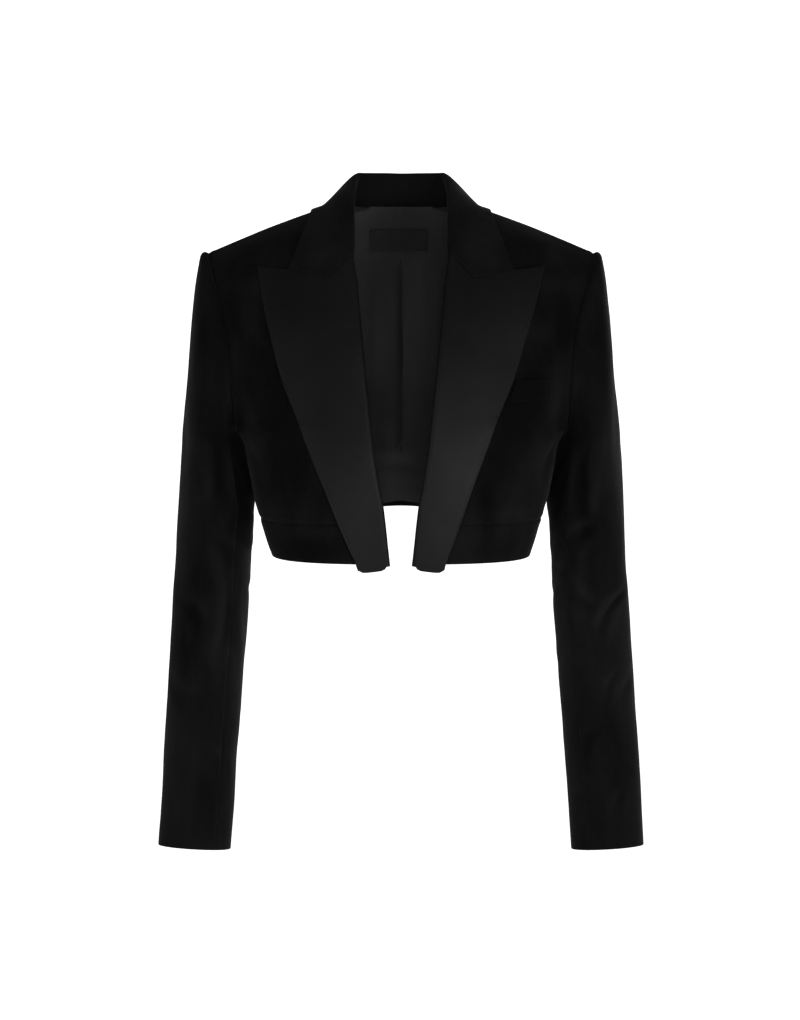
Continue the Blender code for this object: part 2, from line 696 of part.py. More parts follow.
def lapel_spots(side):
    """Front-view places of the lapel's grid: rows from foot to top, columns from the fold."""
    fold_x, fold_z, outer = lapel_outline(side)
    columns = np.linspace(0.0, 1.0, LAPEL_COLUMNS)
    gorge = (Spot(fold_x[-1], fold_z[-1]), GORGE_CORNER, GORGE_END, PEAK_TIP)
    top = np.array([[spot.x, spot.z] for spot in gorge])
    reach = (top[:, 0] - top[0, 0]) / (top[-1, 0] - top[0, 0])
    columns = np.sort(np.concatenate([columns[:-1], reach[1:]]))
    apart = np.diff(columns, prepend=-1.0) > LAPEL_COLUMN_APART
    corner = np.isclose(columns[:, None], reach).any(axis=1)
    columns = columns[apart | corner]
    foot = np.array([[spot.x, spot.z] for spot in LAPEL_FOOT])
    foot_reach = (foot[:, 0] - foot[0, 0]) / (foot[-1, 0] - foot[0, 0])
    places = np.zeros((LAPEL_ROWS, len(columns), 2))
    for i in range(LAPEL_ROWS):
        start = np.array([fold_x[i], fold_z[i]])
        places[i] = start + (outer[i] - start) * columns[:, None]
    top_drop = np.interp(columns, reach, top[:, 1]) - places[-1, :, 1]
    foot_drop = np.interp(columns, foot_reach, foot[:, 1]) - places[0, :, 1]
    for i in range(LAPEL_ROWS):
        share = i / (LAPEL_ROWS - 1)
        places[i, :, 1] += top_drop * share ** LAPEL_TOP_FADE
        places[i, :, 1] += foot_drop * (1.0 - share) ** LAPEL_FOOT_FADE
    return columns, places


def make_lapel(group, cloth, surface, name, side, mirror):
    """A lapel, from its return inside the front, round the front's edge and out over the front."""
    columns, places = lapel_spots(side)
    hook = [math.radians(angle) for angle in HOOK_TURNS]
    thin = FOLD_RADIUS - LAPEL_WALL
    outer, inner = [], []
    for i in range(LAPEL_ROWS):
        x, z = places[i, 0]
        normal = surface.softened(x, z)[1]
        edge = panel_edge(z)
        into = unit(np.cross(np.cross(normal, [1.0, 0.0, 0.0]), normal))
        middle = edge - normal * VELVET_WALL / 2
        row_out = [middle - normal * FOLD_RADIUS + into * LAPEL_RETURN]
        row_in = [middle - normal * thin + into * LAPEL_RETURN]
        for angle in hook:
            ray = into * math.cos(angle) + normal * math.sin(angle)
            row_out.append(middle + ray * FOLD_RADIUS)
            row_in.append(middle + ray * thin)
        for j, share in enumerate(columns):
            px, pz = places[i, j]
            place, out = surface.softened(px, pz)
            lift = thin - VELVET_WALL / 2
            lift += (LAPEL_LIFT - lift) * min(1.0, share / LAPEL_ROLL_SHARE)
            lift += (LAPEL_EDGE_LIFT - LAPEL_LIFT) * share ** LAPEL_EDGE_POWER
            row_out.append(place + out * (lift + LAPEL_WALL))
            row_in.append(place + out * lift)
        outer.append(row_out)
        inner.append(row_in)
    outer, inner = np.array(outer), np.array(inner)
    for grid in (outer, inner):
        grid[-1, :, 2] -= GORGE_HALF_GAP
    solid(group, cloth, name, outer, inner, mirror)


def gorge_points(surface, count):
    """The collar's front end from the fold to the notch, on the outside of the collar."""
    first = Spot(front_edge(GORGE_TOP.z)[0], GORGE_TOP.z)
    upper = polyline_at((first, GORGE_CORNER), np.linspace(0.0, 1.0, count // 2 + 1))
    lower = polyline_at((GORGE_CORNER, GORGE_END), np.linspace(0.0, 1.0, count - count // 2 + 1))
    spots = np.concatenate([upper, lower[1:]])
    points, directions = [], []
    for x, _, z in spots:
        place, out = surface.softened(x, z)
        points.append(place + out * (COLLAR_LIFT + COLLAR_WALL))
        directions.append(out)
    return np.array(points), np.array(directions)


def collar_frames(fold):
    """Directions outwards and up across the collar at each place along its fold."""
    along_fold = unit(np.gradient(fold, axis=0))
    outward = unit(np.cross([0.0, 0.0, 1.0], along_fold))
    outward[0] = (0.0, 1.0, 0.0)
    return outward, unit(np.cross(along_fold, outward))


def collar_line(surface, fold, neck, edge, dip, outward, up):
    """The visible side across the collar: up the stand, round the fold and down the fall."""
    centre = fold - up * COLLAR_RADIUS
    stand = fold - neck
    rise = unit(outward * np.dot(stand, outward) + up * np.dot(stand, up))
    sideways = up * np.dot(rise, outward) - outward * np.dot(rise, up)
    inside = neck + sideways * COLLAR_WALL + rise * SEAM_GAP
    fall = edge - fold
    first = math.degrees(math.atan2(-np.dot(stand, outward), np.dot(stand, up)))
    last = math.degrees(math.atan2(-np.dot(fall, up), np.dot(fall, outward)))
    arc = []
    turned = np.linspace(180.0 + first, 90.0 - COLLAR_ARC_SHARE * last, COLLAR_ARC)
    for turn in np.radians(turned):
        arc.append(centre + (outward * math.cos(turn) + up * math.sin(turn)) * COLLAR_RADIUS)
    line = [inside, (inside + arc[0]) / 2] + arc
    for step in range(1, COLLAR_FALL + 1):
        share = step / COLLAR_FALL
        point = arc[-1] + (edge - arc[-1]) * share
        point[2] = arc[-1][2] + (edge[2] - arc[-1][2]) * share ** FALL_ROUND
        point[2] -= dip * np.interp(share, (0.0, DIP_SHARE, 1.0), (0.0, 1.0, 0.0))
        line.append(surface.lifted(point, FALL_LIFT + COLLAR_WALL))
    return line


def collar_end(surface):
    """The collar's front end along the gorge, round the front's edge, and its directions."""
    place, normal = surface.softened(front_edge(GORGE_TOP.z)[0], GORGE_TOP.z)
    into = unit(np.cross(np.cross(normal, [1.0, 0.0, 0.0]), normal))
    centre = place - normal * VELVET_WALL / 2 - into * COLLAR_END_CLEAR
    turns = np.radians(np.linspace(COLLAR_END_TURN, 90.0, COLLAR_ARC + 2))
    facing = np.array([into * math.cos(turn) + normal * math.sin(turn) for turn in turns])
    gorge, gorge_facing = gorge_points(surface, COLLAR_FALL)
    points = np.concatenate([centre + facing * FOLD_RADIUS, gorge[1:]])
    points[:, 2] += GORGE_HALF_GAP
    return points, np.concatenate([facing, gorge_facing[1:]])


def collar_half(surface):
    """Visible side of the collar on the wearer's left, lines from the back's middle."""
    table = np.array(COLLAR)
    values = smooth(np.arange(len(table)), table, np.linspace(0, len(table) - 1, COLLAR_COLUMNS))
    fold, neck, edge, dip = values[:, 0:3], values[:, 3:6], values[:, 6:9], values[:, 9]
    outward, up = collar_frames(fold)
    lines = [collar_line(surface, *place) for place in zip(fold, neck, edge, dip, outward, up)]
    end, end_facing = collar_end(surface)
    return np.array(lines + [end]), end_facing


def make_collar(group, cloth, surface):
    """The collar, stand and fall in one, turned over at its fold."""
    half, end_facing = collar_half(surface)
    flip = np.array([-1.0, 1.0, 1.0])
    outer = np.concatenate([half[:0:-1] * flip, half])
    facing = normals(outer)
    middle = len(half) - 1
    if facing[middle, -1][1] < 0:
        facing = -facing
    facing[middle] = flatten(facing[middle], 0)
    facing[-1] = end_facing
    facing[0] = end_facing * flip
    inner = outer - facing * COLLAR_WALL
    solid(group, cloth, "collar", outer, inner)


def make_welt(group, cloth, surface):
    """The welt of the chest pocket, laid on the front between its four corners."""
    outer, inner = [], []
    for i in range(WELT_ROWS):
        down = i / (WELT_ROWS - 1)
        line_out, line_in = [], []
        for j in range(WELT_COLUMNS):
            across = j / (WELT_COLUMNS - 1)
            top_x = WELT_TOP[0].x + (WELT_TOP[1].x - WELT_TOP[0].x) * across
            top_z = WELT_TOP[0].z + (WELT_TOP[1].z - WELT_TOP[0].z) * across
            low_x = WELT_BOTTOM[0].x + (WELT_BOTTOM[1].x - WELT_BOTTOM[0].x) * across
            low_z = WELT_BOTTOM[0].z + (WELT_BOTTOM[1].z - WELT_BOTTOM[0].z) * across
            x = top_x + (low_x - top_x) * down
            z = top_z + (low_z - top_z) * down
            place, out = surface.softened(x, z)
            line_out.append(place + out * (SEAM_GAP + WELT_WALL))
            line_in.append(place + out * SEAM_GAP)
        outer.append(line_out)
        inner.append(line_in)
    solid(group, cloth, "chest_welt", np.array(outer), np.array(inner))


def lining_places():
    """Back-view places of the lining's left half: rows from the hem up, columns from x 0."""
    top, hem = np.array(LINING_TOP), np.array(LINING_HEM)
    places = np.zeros((LINING_ROWS, LINING_COLUMNS, 2))
    plain = LINING_COLUMNS - len(PLEAT_XS)
    for i, share in enumerate(np.linspace(0.0, 1.0, LINING_ROWS)):
        width = LINING_FOOT_HALF_WIDTH
        width += (LINING_HEAD_HALF_WIDTH - LINING_FOOT_HALF_WIDTH) * math.sin(share * math.pi / 2)
        rest = np.linspace(PLEAT_XS[-1], width, plain + 1)[1:]
        x = np.concatenate([PLEAT_XS, rest])
        low = np.interp(x, hem[:, 0], hem[:, 1])
        high = np.interp(x, top[:, 0], top[:, 1])
        places[i, :, 0] = x
        places[i, :, 1] = low + (high - low) * share
    return places


def pleat_rise(x, z):
    """How far the pleat down the lining stands off it at x and z."""
    across = np.interp(abs(x), PLEAT_XS, PLEAT_RISES)
    ends = min(PLEAT_TOP_Z - z, z - PLEAT_END_Z) / PLEAT_SOFT
    return across * min(max(ends, 0.0), 1.0)


def inside_back(surface, x, z, depth):
    """A place that far in from the outside of the back, at x and z in the back view."""
    place, out = surface.softened(max(abs(x), NORMAL_REACH), z, 1.0)
    place = surface.seen(x, z, 1.0)[0]
    out = out * np.array([math.copysign(1.0, x) if abs(x) > NORMAL_REACH else 0.0, 1.0, 1.0])
    return place - unit(out) * depth


def make_lining(group, cloth, surface):
    """The back lining, a little inside both backs."""
    places = lining_places()
    depth = VELVET_WALL + LINING_CLEAR
    outer = np.zeros(places.shape[:2] + (3,))
    inner = np.zeros_like(outer)
    for i, row in enumerate(places):
        for j, (x, z) in enumerate(row):
            outer[i, j] = inside_back(surface, x, z, depth)
            inner[i, j] = inside_back(surface, x, z, depth + LINING_WALL + pleat_rise(x, z))
    flip = np.array([-1.0, 1.0, 1.0])
    both = [np.concatenate([grid[:, :0:-1] * flip, grid], axis=1) for grid in (outer, inner)]
    solid(group, cloth, "back_lining", both[0], both[1])


def make_label(group, cloth, surface):
    """The bare neck label, on the lining below the collar."""
    depth = VELVET_WALL + LINING_CLEAR + LINING_WALL + SEAM_GAP
    xs = LABEL_MID_X + np.linspace(-LABEL_HALF_WIDTH, LABEL_HALF_WIDTH, LABEL_COLUMNS)
    zs = LABEL_MID_Z + np.array([-LABEL_HALF_HEIGHT, LABEL_HALF_HEIGHT])
    outer = np.array([[inside_back(surface, x, z, depth) for x in xs] for z in zs])
    inner = np.array([[inside_back(surface, x, z, depth + LABEL_WALL) for x in xs] for z in zs])
    solid(group, cloth, "neck_label", outer, inner)


def build_jacket():
    clear_scene()
    group = collection("spencer_jacket")
    velvet = material("black_velvet", VELVET)
    satin = material("black_satin", SATIN)
    lining = material("black_lining", LINING)
    tape = material("black_tape", TAPE)
    make_fronts(group, velvet)
    make_backs(group, velvet)
    make_sleeves(group, velvet)
    surface = Surface()
    make_collar(group, velvet, surface)
    make_lapel(group, satin, surface, "lapel_left", 1.0, False)
    make_lapel(group, satin, surface, "lapel_right", -1.0, True)
    make_welt(group, velvet, surface)
    make_lining(group, lining, surface)
    make_label(group, tape, surface)


build_jacket()
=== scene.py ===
"""Looks of the spencer jacket: its cloths, seams, stitches and creases, and a plain studio.

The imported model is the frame. Each piece of cloth is a thin shell on its solid's own form, made
again here from the same sizes with far more points, so that seams, rolled edges and creases are
in the mesh. Lengths are in millimetres until make_mesh() turns them into metres. The front looks
along -Y and +X is the wearer's left.
"""
import math
from collections import namedtuple

import bpy
import numpy as np
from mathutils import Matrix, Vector, noise
from mathutils.bvhtree import BVHTree


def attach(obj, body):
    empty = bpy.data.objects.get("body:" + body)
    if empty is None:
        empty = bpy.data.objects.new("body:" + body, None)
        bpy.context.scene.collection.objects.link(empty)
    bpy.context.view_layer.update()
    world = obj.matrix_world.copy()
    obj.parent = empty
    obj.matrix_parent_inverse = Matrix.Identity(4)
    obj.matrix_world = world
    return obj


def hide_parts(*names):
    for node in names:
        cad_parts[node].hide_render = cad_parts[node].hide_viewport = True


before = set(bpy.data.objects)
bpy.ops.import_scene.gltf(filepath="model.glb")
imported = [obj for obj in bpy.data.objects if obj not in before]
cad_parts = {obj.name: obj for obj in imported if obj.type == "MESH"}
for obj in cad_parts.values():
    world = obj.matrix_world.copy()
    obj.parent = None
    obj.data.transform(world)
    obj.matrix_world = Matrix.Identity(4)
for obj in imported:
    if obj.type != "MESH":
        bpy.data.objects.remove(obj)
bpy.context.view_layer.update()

bl_info = {
    "name": "Spencer jacket",
    "version": (1, 0, 0),
    "blender": (4, 5, 0),
    "location": "3D View > Sidebar > Jacket",
    "description": "Makes the cloth, seams and stitches of a cropped velvet jacket",
    "category": "Add Mesh",
}

MM = 0.001
BODY = "root"
MIRRORED = np.array([-1.0, 1.0, 1.0])


def table(kind, rows):
    """Rows with the named columns of their kind."""
    return [kind(*row) for row in rows]


# Cloth
VELVET_WALL = 2.2
LAPEL_WALL = 1.6
COLLAR_WALL = 1.7
LINING_WALL = 1.0
LABEL_WALL = 0.8
WELT_WALL = 1.5
WELT_RISE = 1.05
SEAM_GAP = 0.3
# Sewn edges meet, and overlap by a hair, so that no light shows through a seam.
HALF_GAP = -0.05
GORGE_HALF_GAP = 0.35

# Levels
HEM_Z = -347.5
UNDERARM_Z = -223.0
ARMHOLE_CENTRE_Y = 0.0
ARMHOLE_CENTRE_Z = -130.0
UNDERARM_SPREAD = 0.8
UNDERARM_TURN = 180

# Armhole, from the shoulder seam over the front, the underarm and the back. turn is the angle
# round the sleeve in degrees: 0 outside, 90 front, 180 against the body, 270 back.
Armhole = namedtuple("Armhole", "turn x y z")
ARMHOLE = table(Armhole, (
    (0, 195, 5, -41.5),
    (12, 194.2, -2.5, -45),
    (25, 192.5, -11, -51.5),
    (48, 186.5, -28, -73),
    (70, 178.5, -41.5, -101),
    (90, 172.5, -49, -131),
    (110, 170, -50, -163),
    (129, 169.2, -43.5, -191),
    (146, 168.4, -31, -210),
    (163, 167, -15.5, -219.5),
    (180, 165.6, 0, -223),
    (197, 167.2, 18, -219.5),
    (211, 169.5, 35, -207),
    (225, 171.5, 48, -186),
    (246, 175, 57, -152),
    (268, 180, 57.5, -117),
    (290, 185.5, 49, -87),
    (308, 189.5, 37.5, -68),
    (323, 192, 27.5, -55.5),
    (336, 193.6, 19, -48),
    (348, 194.6, 12, -43.8),
    (360, 195, 5, -41.5),
))

# Edge of the front, from below the hem up to the neck point.
FOLD_RADIUS = 3.5
FrontEdge = namedtuple("FrontEdge", "z x y")
FRONT_EDGE = table(FrontEdge, (
    (-368, 11, -110),
    (-347.5, 14.1, -112),
    (-318, 17.2, -114.5),
    (-288, 20.6, -117),
    (-262, 25.6, -118),
    (-232, 30, -117.8),
    (-202, 33.3, -115.5),
    (-149, 38.7, -107.5),
    (-101, 43.4, -94.5),
    (-74, 45.6, -84),
    (-45, 50.4, -67.5),
    (-30, 54.3, -54.5),
    (-12, 58.4, -34),
    (2, 61, -12),
    (8.7, 61.5, 5),
))

# Rows of the front below the underarm: the height at the front edge and at the side seam.
# square is the exponent of the section's curve, and slope that of its height.
SideRow = namedtuple("SideRow", "edge_z side_x side_z square slope")
FRONT_SIDE = table(SideRow, (
    (-368, 127, -366, 3.3, 1.5),
    (-347.5, 131, -346, 3.2, 1.5),
    (-328, 137.2, -327, 3.1, 1.5),
    (-308, 142.8, -308, 2.9, 1.5),
    (-287, 148.6, -288.5, 2.7, 1.5),
    (-266, 152.6, -269, 2.5, 1.5),
    (-245, 156, -251.5, 2.4, 1.5),
    (-226, 159.6, -236, 2.3, 1.5),
))
HEM_ROW = 1
WAIST_ROW = 3

# Rows that end on the armhole. reach is how far the section has turned towards the side.
ArmRow = namedtuple("ArmRow", "edge_z reach square slope")
FRONT_ARM = table(ArmRow, (
    (8.7, 0.30, 2.2, 1.13),
    (3, 0.36, 2.2, 1.15),
    (-9, 0.42, 2.2, 1.18),
    (-25, 0.52, 2.2, 1.22),
    (-45, 0.62, 2.2, 1.3),
    (-70, 0.70, 2.2, 1.4),
    (-98, 0.77, 2.2, 1.5),
    (-128, 0.84, 2.2, 1.5),
    (-157, 0.90, 2.25, 1.5),
    (-183, 0.96, 2.3, 1.5),
    (-206, 1, 2.3, 1.5),
))

# Middle of the back and the neck, with the same columns and the place where each row starts.
BackSide = namedtuple("BackSide", "mid_y mid_z side_x side_z square slope")
BACK_SIDE = table(BackSide, (
    (81, -305.5, 131, -346, 2.9, 2),
    (82, -287, 137.2, -327, 2.8, 2),
    (83.5, -268, 142.8, -308, 2.7, 2),
    (86, -247, 148.6, -288.5, 2.6, 1.9),
    (89.5, -225, 152.6, -269, 2.5, 1.8),
    (93.5, -203, 156, -251.5, 2.4, 1.8),
    (97, -181, 159.6, -236, 2.4, 1.7),
))
BACK_WAIST_ROW = 2

BackArm = namedtuple("BackArm", "start_x start_y start_z reach square slope")
BACK_ARM = table(BackArm, (
    (0, 99.3, -158, 1, 2.4, 1.7),
    (0, 100.5, -134, 0.96, 2.3, 1.6),
    (0, 100.5, -109, 0.92, 2.3, 1.6),
    (0, 98.5, -84, 0.88, 2.3, 1.5),
    (0, 94.3, -58, 0.80, 2.2, 1.5),
    (0, 88, -34, 0.72, 2.2, 1.4),
    (0, 79.8, -12, 0.64, 2.2, 1.35),
    (0, 72, 5.5, 0.56, 2.2, 1.3),
    (28, 68, 6, 0.48, 2.2, 1.22),
    (47, 51, 7.3, 0.42, 2.2, 1.18),
    (57.5, 28, 8.4, 0.36, 2.2, 1.15),
    (61.5, 5, 8.7, 0.30, 2.2, 1.13),
))

# Sleeve below the underarm: middle and half sizes of the ring at each level.
Ring = namedtuple("Ring", "z mid_x mid_y half_x half_y lean")
SLEEVE = table(Ring, (
    (-223, 194.1, 3.5, 27.9, 62, 0),
    (-236, 191.8, 3.5, 31, 61.8, 0),
    (-251.5, 190.6, 3.5, 33.6, 61.5, 0),
    (-269, 189.5, 3.3, 35.8, 61, 0),
    (-292, 188.2, 3, 38.5, 60, 0),
    (-334, 190.7, 0.5, 38.6, 57.5, 0.1),
    (-374, 192.9, -3, 38.7, 55, 0.25),
    (-415, 195.2, -7.5, 38.6, 52.8, 0.4),
    (-456, 197.9, -13.5, 38.2, 50.5, 0.55),
    (-496, 200.4, -20, 37.8, 48.3, 0.7),
    (-536, 203.2, -27, 37.5, 46.2, 0.85),
    (-576, 205.5, -34, 37.1, 44.4, 1),
    (-610, 207.6, -39.5, 36.8, 43, 1),
    (-642, 209.6, -44.5, 36.6, 42, 1),
))
CUFF_Z = SLEEVE[-1].z
CUFF_RISE_X = 0.063
CUFF_RISE_Y = -0.128
SLEEVE_HEAD_LEAN = -0.087
SLEEVE_HEAD_SQUARE = 5.0
SLEEVE_HEAD_POWER = 1.5
SLEEVE_SIDE_SQUARE = 2.3
FRONT_SEAM_TURN = 129
BACK_SEAM_TURN = 225
CAP_END_Z = -292.0

# Collar stations from the middle of the back to the front: the crest of the fold, the seam at
# the neck, the outer edge of the fall, and how far its lines dip towards the gorge's corner.
Collar = namedtuple("Collar", "fold_x fold_y fold_z neck_x neck_y neck_z edge_x edge_y edge_z dip")
COLLAR = table(Collar, (
    (0, 66, 40.3, 0, 72, 5.5, 0, 84, -6, 0),
    (20, 65.5, 40.6, 20, 70, 5.8, 30, 83.5, -6.5, 0),
    (37, 61, 40.6, 38, 61, 6.6, 58, 76, -7, 0),
    (45.6, 50, 39.6, 50, 46, 7.6, 79, 58, -6, 0),
    (47.6, 33, 32, 57, 29, 8.3, 87.5, 34, -3.5, 0),
    (49, 14, 22.8, 60.8, 11, 8.8, 89.5, 8, -2, 0),
    (49.3, -6.5, 11.8, 61.2, -9, 3.5, 91, -12, -10, 0),
    (49, -28, -2, 59.5, -27, -7.5, 95.2, -28, -22, 0),
    (48.6, -47.2, -18.4, 56.2, -45, -21.5, 102, -44, -37.5, 5),
    (48.1, -59.8, -31.6, 53.4, -57, -33.5, 106.6, -54, -48.5, 12),
))
COLLAR_COLUMNS = 14
COLLAR_RADIUS = 2.8
COLLAR_ARC = 9
COLLAR_FALL = 14
COLLAR_STAND = 4
COLLAR_TURN = 0.6
COLLAR_END_TURN = 250.0
COLLAR_END_CLEAR = 0.4
FALL_ROUND = 1.35
FALL_LIFT = 1.6
COLLAR_LIFT = 0.8
DIP_SHARE = 0.35

# Lapel outline in the front view. The gorge is where the collar's end meets the lapel's top.
Spot = namedtuple("Spot", "x z")
GORGE_TOP = Spot(47.4, -45.0)
GORGE_CORNER = Spot(71.2, -67.3)
GORGE_END = Spot(111.2, -59.0)
PEAK_TIP = Spot(142.1, -55.7)
LAPEL_EDGE = table(Spot, (
    (142.1, -55.7),
    (135.1, -88),
    (124.5, -127),
    (113.4, -165),
    (98.4, -202),
    (85.9, -237),
    (73.9, -268),
    (61.3, -302.5),
    (47.4, -338),
    (41.5, -351),
))
LAPEL_FOOT = table(Spot, (
    (10.5, -349),
    (12.6, -351.6),
    (16.4, -353.3),
    (24, -354.3),
    (32, -355),
    (37.2, -355),
    (40.2, -353.6),
    (41.5, -351),
))
LAPEL_KEYS = 44
LAPEL_TOP_KEYS = 7
LAPEL_TOP_FADE = 3
LAPEL_FOOT_FADE = 6
LAPEL_ROLL_SHARE = 0.15
LAPEL_LIFT = 0.9
LAPEL_EDGE_LIFT = 1.6
LAPEL_RETURN = 5.0
LAPEL_SWING = 3.6

# Chest welt on the wearer's left
WELT_TOP = (Spot(113.0, -166.5), Spot(151.0, -165.5))
WELT_BOTTOM = (Spot(106.0, -187.0), Spot(148.8, -186.5))

# Lining and label
LINING_CLEAR = 1.6
LINING_TOP = table(Spot, (
    (0, 4.7),
    (28, 5),
    (44, 5.2),
    (53, 1.5),
    (62, -6),
    (100, -25),
    (150, -46),
))
LINING_HEM = table(Spot, (
    (0, -300),
    (60, -308),
    (120, -332),
))
LINING_FOOT_HALF_WIDTH = 113.0
LINING_HEAD_HALF_WIDTH = 116.0
PLEAT_TOP_Z = -44.0
PLEAT_END_Z = -252.0
LABEL_MID_X = -2.0
LABEL_MID_Z = -27.0
LABEL_HALF_WIDTH = 31.0
LABEL_HALF_HEIGHT = 11.5

# How the body's surface is read: from far in front or behind, with its normal averaged over a few
# millimetres. DENSE is how many points a line has before it is read by its length.
BODY_MIDDLE_Z = -150.0
EDGE_SPARE = 10.0
NORMAL_REACH = 2.5
FAR_AWAY = 400.0
DENSE = 240


def smooth(at, values, places):
    """Cubic curve through values given at the rising numbers in at, read at the given places."""
    at = np.asarray(at, float)
    values = np.asarray(values, float)
    places = np.clip(np.asarray(places, float), at[0], at[-1])
    slopes = np.gradient(values, at, axis=0)
    k = np.clip(np.searchsorted(at, places, side="right") - 1, 0, len(at) - 2)
    step = at[k + 1] - at[k]
    t = (places - at[k]) / step
    if values.ndim > 1:
        extra = (slice(None),) + (None,) * (values.ndim - 1)
        t, step = t[extra], step[extra]
    start = (1 + 2 * t) * (1 - t) ** 2 * values[k] + t * (1 - t) ** 2 * step * slopes[k]
    end = t * t * (3 - 2 * t) * values[k + 1] + t * t * (t - 1) * step * slopes[k + 1]
    return start + end


def lengths_of(points):
    """Length along a line of points, from its first one."""
    steps = np.linalg.norm(np.diff(points, axis=0), axis=-1)
    return np.concatenate((np.zeros((1,) + steps.shape[1:]), np.cumsum(steps, axis=0)))


def along(points, shares):
    """Points of a polyline at the given shares of its length."""
    points = np.asarray(points, float)
    length = lengths_of(points)
    wanted = np.asarray(shares) * length[-1]
    return np.stack([np.interp(wanted, length, points[:, axis]) for axis in range(3)], axis=1)


def unit(vectors):
    """The same directions with a length of 1."""
    vectors = np.asarray(vectors, float)
    return vectors / np.linalg.norm(vectors, axis=-1, keepdims=True)


def soft_step(x):
    """From 0 to 1, level at both ends."""
    x = np.clip(x, 0.0, 1.0)
    return x * x * (3.0 - 2.0 * x)


def armhole_at(turn):
    """A point of the armhole at any angle, on a smooth line through its table."""
    rows = np.array(ARMHOLE)
    before, after = rows[-4:-1].copy(), rows[1:4].copy()
    before[:, 0] -= 360.0
    after[:, 0] += 360.0
    rows = np.concatenate([before, rows, after])
    return smooth(rows[:, 0], rows[:, 1:], [turn % 360.0])[0]


def front_edge(z):
    """A point of the front's edge, on a smooth line through its table."""
    rows = np.array(FRONT_EDGE)
    x, y = smooth(rows[:, 0], rows[:, 1:], [z])[0]
    return np.array([x, y, z])


def front_rows():
    """Start, end, reach, square, slope and turn of each row of a front, from below the hem up."""
    rows = []
    for row in FRONT_SIDE:
        end = np.array([row.side_x, 0.0, row.side_z])
        rows.append((front_edge(row.edge_z), end, 1.0, row.square, row.slope, UNDERARM_TURN))
    arm = [place for place in ARMHOLE if place.turn <= UNDERARM_TURN]
    for row, place in zip(reversed(FRONT_ARM), reversed(arm)):
        end = np.array([place.x, place.y, place.z])
        rows.append((front_edge(row.edge_z), end, row.reach, row.square, row.slope, place.turn))
    return rows


def back_rows():
    """The same for a back."""
    rows = []
    for row in BACK_SIDE:
        start = np.array([0.0, row.mid_y, row.mid_z])
        end = np.array([row.side_x, 0.0, row.side_z])
        rows.append((start, end, 1.0, row.square, row.slope, UNDERARM_TURN))
    arm = [place for place in ARMHOLE if place.turn >= UNDERARM_TURN]
    for row, place in zip(BACK_ARM, arm):
        start = np.array([row.start_x, row.start_y, row.start_z])
        end = np.array([place.x, place.y, place.z])
        rows.append((start, end, row.reach, row.square, row.slope, place.turn))
    return rows


def section(row, shares):
    """Points across a panel: part of a rounded-square curve that turns from front to side."""
    start, end, reach, square, slope = row[:5]
    f = 1.0 - (1.0 - np.linspace(0.0, 1.0, DENSE)) ** 2
    turned = 1.0 - np.maximum(1.0 - (f * reach) ** square, 0.0) ** (1.0 / square)
    turned = turned / turned[-1]
    x = start[0] + (end[0] - start[0]) * f
    y = start[1] + (end[1] - start[1]) * turned
    z = start[2] + (end[2] - start[2]) * f ** slope
    return along(np.stack([x, y, z], axis=1), shares)


def between_rows(rows, place):
    """The row at a place between the table's rows, counted from 0."""
    at = np.arange(len(rows))
    packed = np.array([np.concatenate([row[0], row[1], row[2:5]]) for row in rows])
    values = smooth(at, packed, [place])[0]
    first_arm = next(i for i, row in enumerate(rows[:-1]) if rows[i + 1][5] != row[5])
    turn = float(np.interp(place, at, [row[5] for row in rows]))
    end = armhole_at(turn) if place > first_arm else values[3:6]
    return values[:3], end, min(values[6], 1.0), values[7], values[8], turn


def shares_of(length, step):
    """Shares of a length: a point every step, and finer ones where an edge is rolled."""
    plain = np.linspace(0.0, length, max(3, round(length / step)) + 1)
    near = np.array(EDGE_SPOTS)
    plain = plain[(plain > near[-1] + step / 3) & (plain < length - near[-1] - step / 3)]
    return np.concatenate([near, plain, length - near[::-1]]) / length


# Even form of a panel between its table's rows, how many points its surface is read at, and the
# length of a sleeve's cap.
EASE_TIMES = 90
EASE_PULL = 0.5
EASE_PUSH = -0.515
EASE_NEAR = 4.0
EASE_FAR = 26.0
PANEL_PLACES = 160
PANEL_COLUMNS = 9
SURFACE_ROWS = 120
SURFACE_COLUMNS = 70
CAP_LENGTH = 180.0
CAP_ROWS_FROM = 0.035
CAP_ROWS = 62
CAP_END_ROWS = 60
SLEEVE_ROWS = 104
LINING_ROWS = 70
LINING_LEFT_COLUMNS = 26
LINING_RIGHT_COLUMNS = 28


def eased(grid):
    """The grid with the kinks between its table's rows evened out, away from its borders.

    Each pull towards the mean of the rows beside is followed by a push back, so that the large
    form stays.
    """
    distance = border_distances(grid)
    near = np.minimum.reduce([distance[border] for border in ("foot", "head", "start", "end")])
    weight = soft_step((near - EASE_NEAR) / EASE_FAR)[1:-1, :, None]
    grid = grid.copy()
    for _ in range(EASE_TIMES):
        for share in (EASE_PULL, EASE_PUSH):
            mean = (grid[:-2] + grid[2:]) / 2
            grid[1:-1] += share * weight * (mean - grid[1:-1])
    return grid


def panel_grid(rows, first, last, step):
    """A panel's dense grid of points between two rows of its table."""
    places = np.linspace(first, last, PANEL_PLACES)
    few = np.linspace(0, 1, PANEL_COLUMNS)
    lines = np.array([section(between_rows(rows, place), few) for place in places])
    wide = np.mean(lengths_of(np.swapaxes(lines, 0, 1))[-1])
    high = np.mean(lengths_of(lines), axis=1)
    wanted = shares_of(high[-1], step) * high[-1]
    shares = shares_of(wide, step)
    at = np.interp(wanted, high, places)
    return eased(np.array([section(between_rows(rows, place), shares) for place in at])), at


def normals(grid):
    """Unit normals of a grid of points, along rows crossed with along columns."""
    across = unit(np.gradient(grid, axis=1))
    up = unit(np.gradient(grid, axis=0))
    return unit(np.cross(across, up))


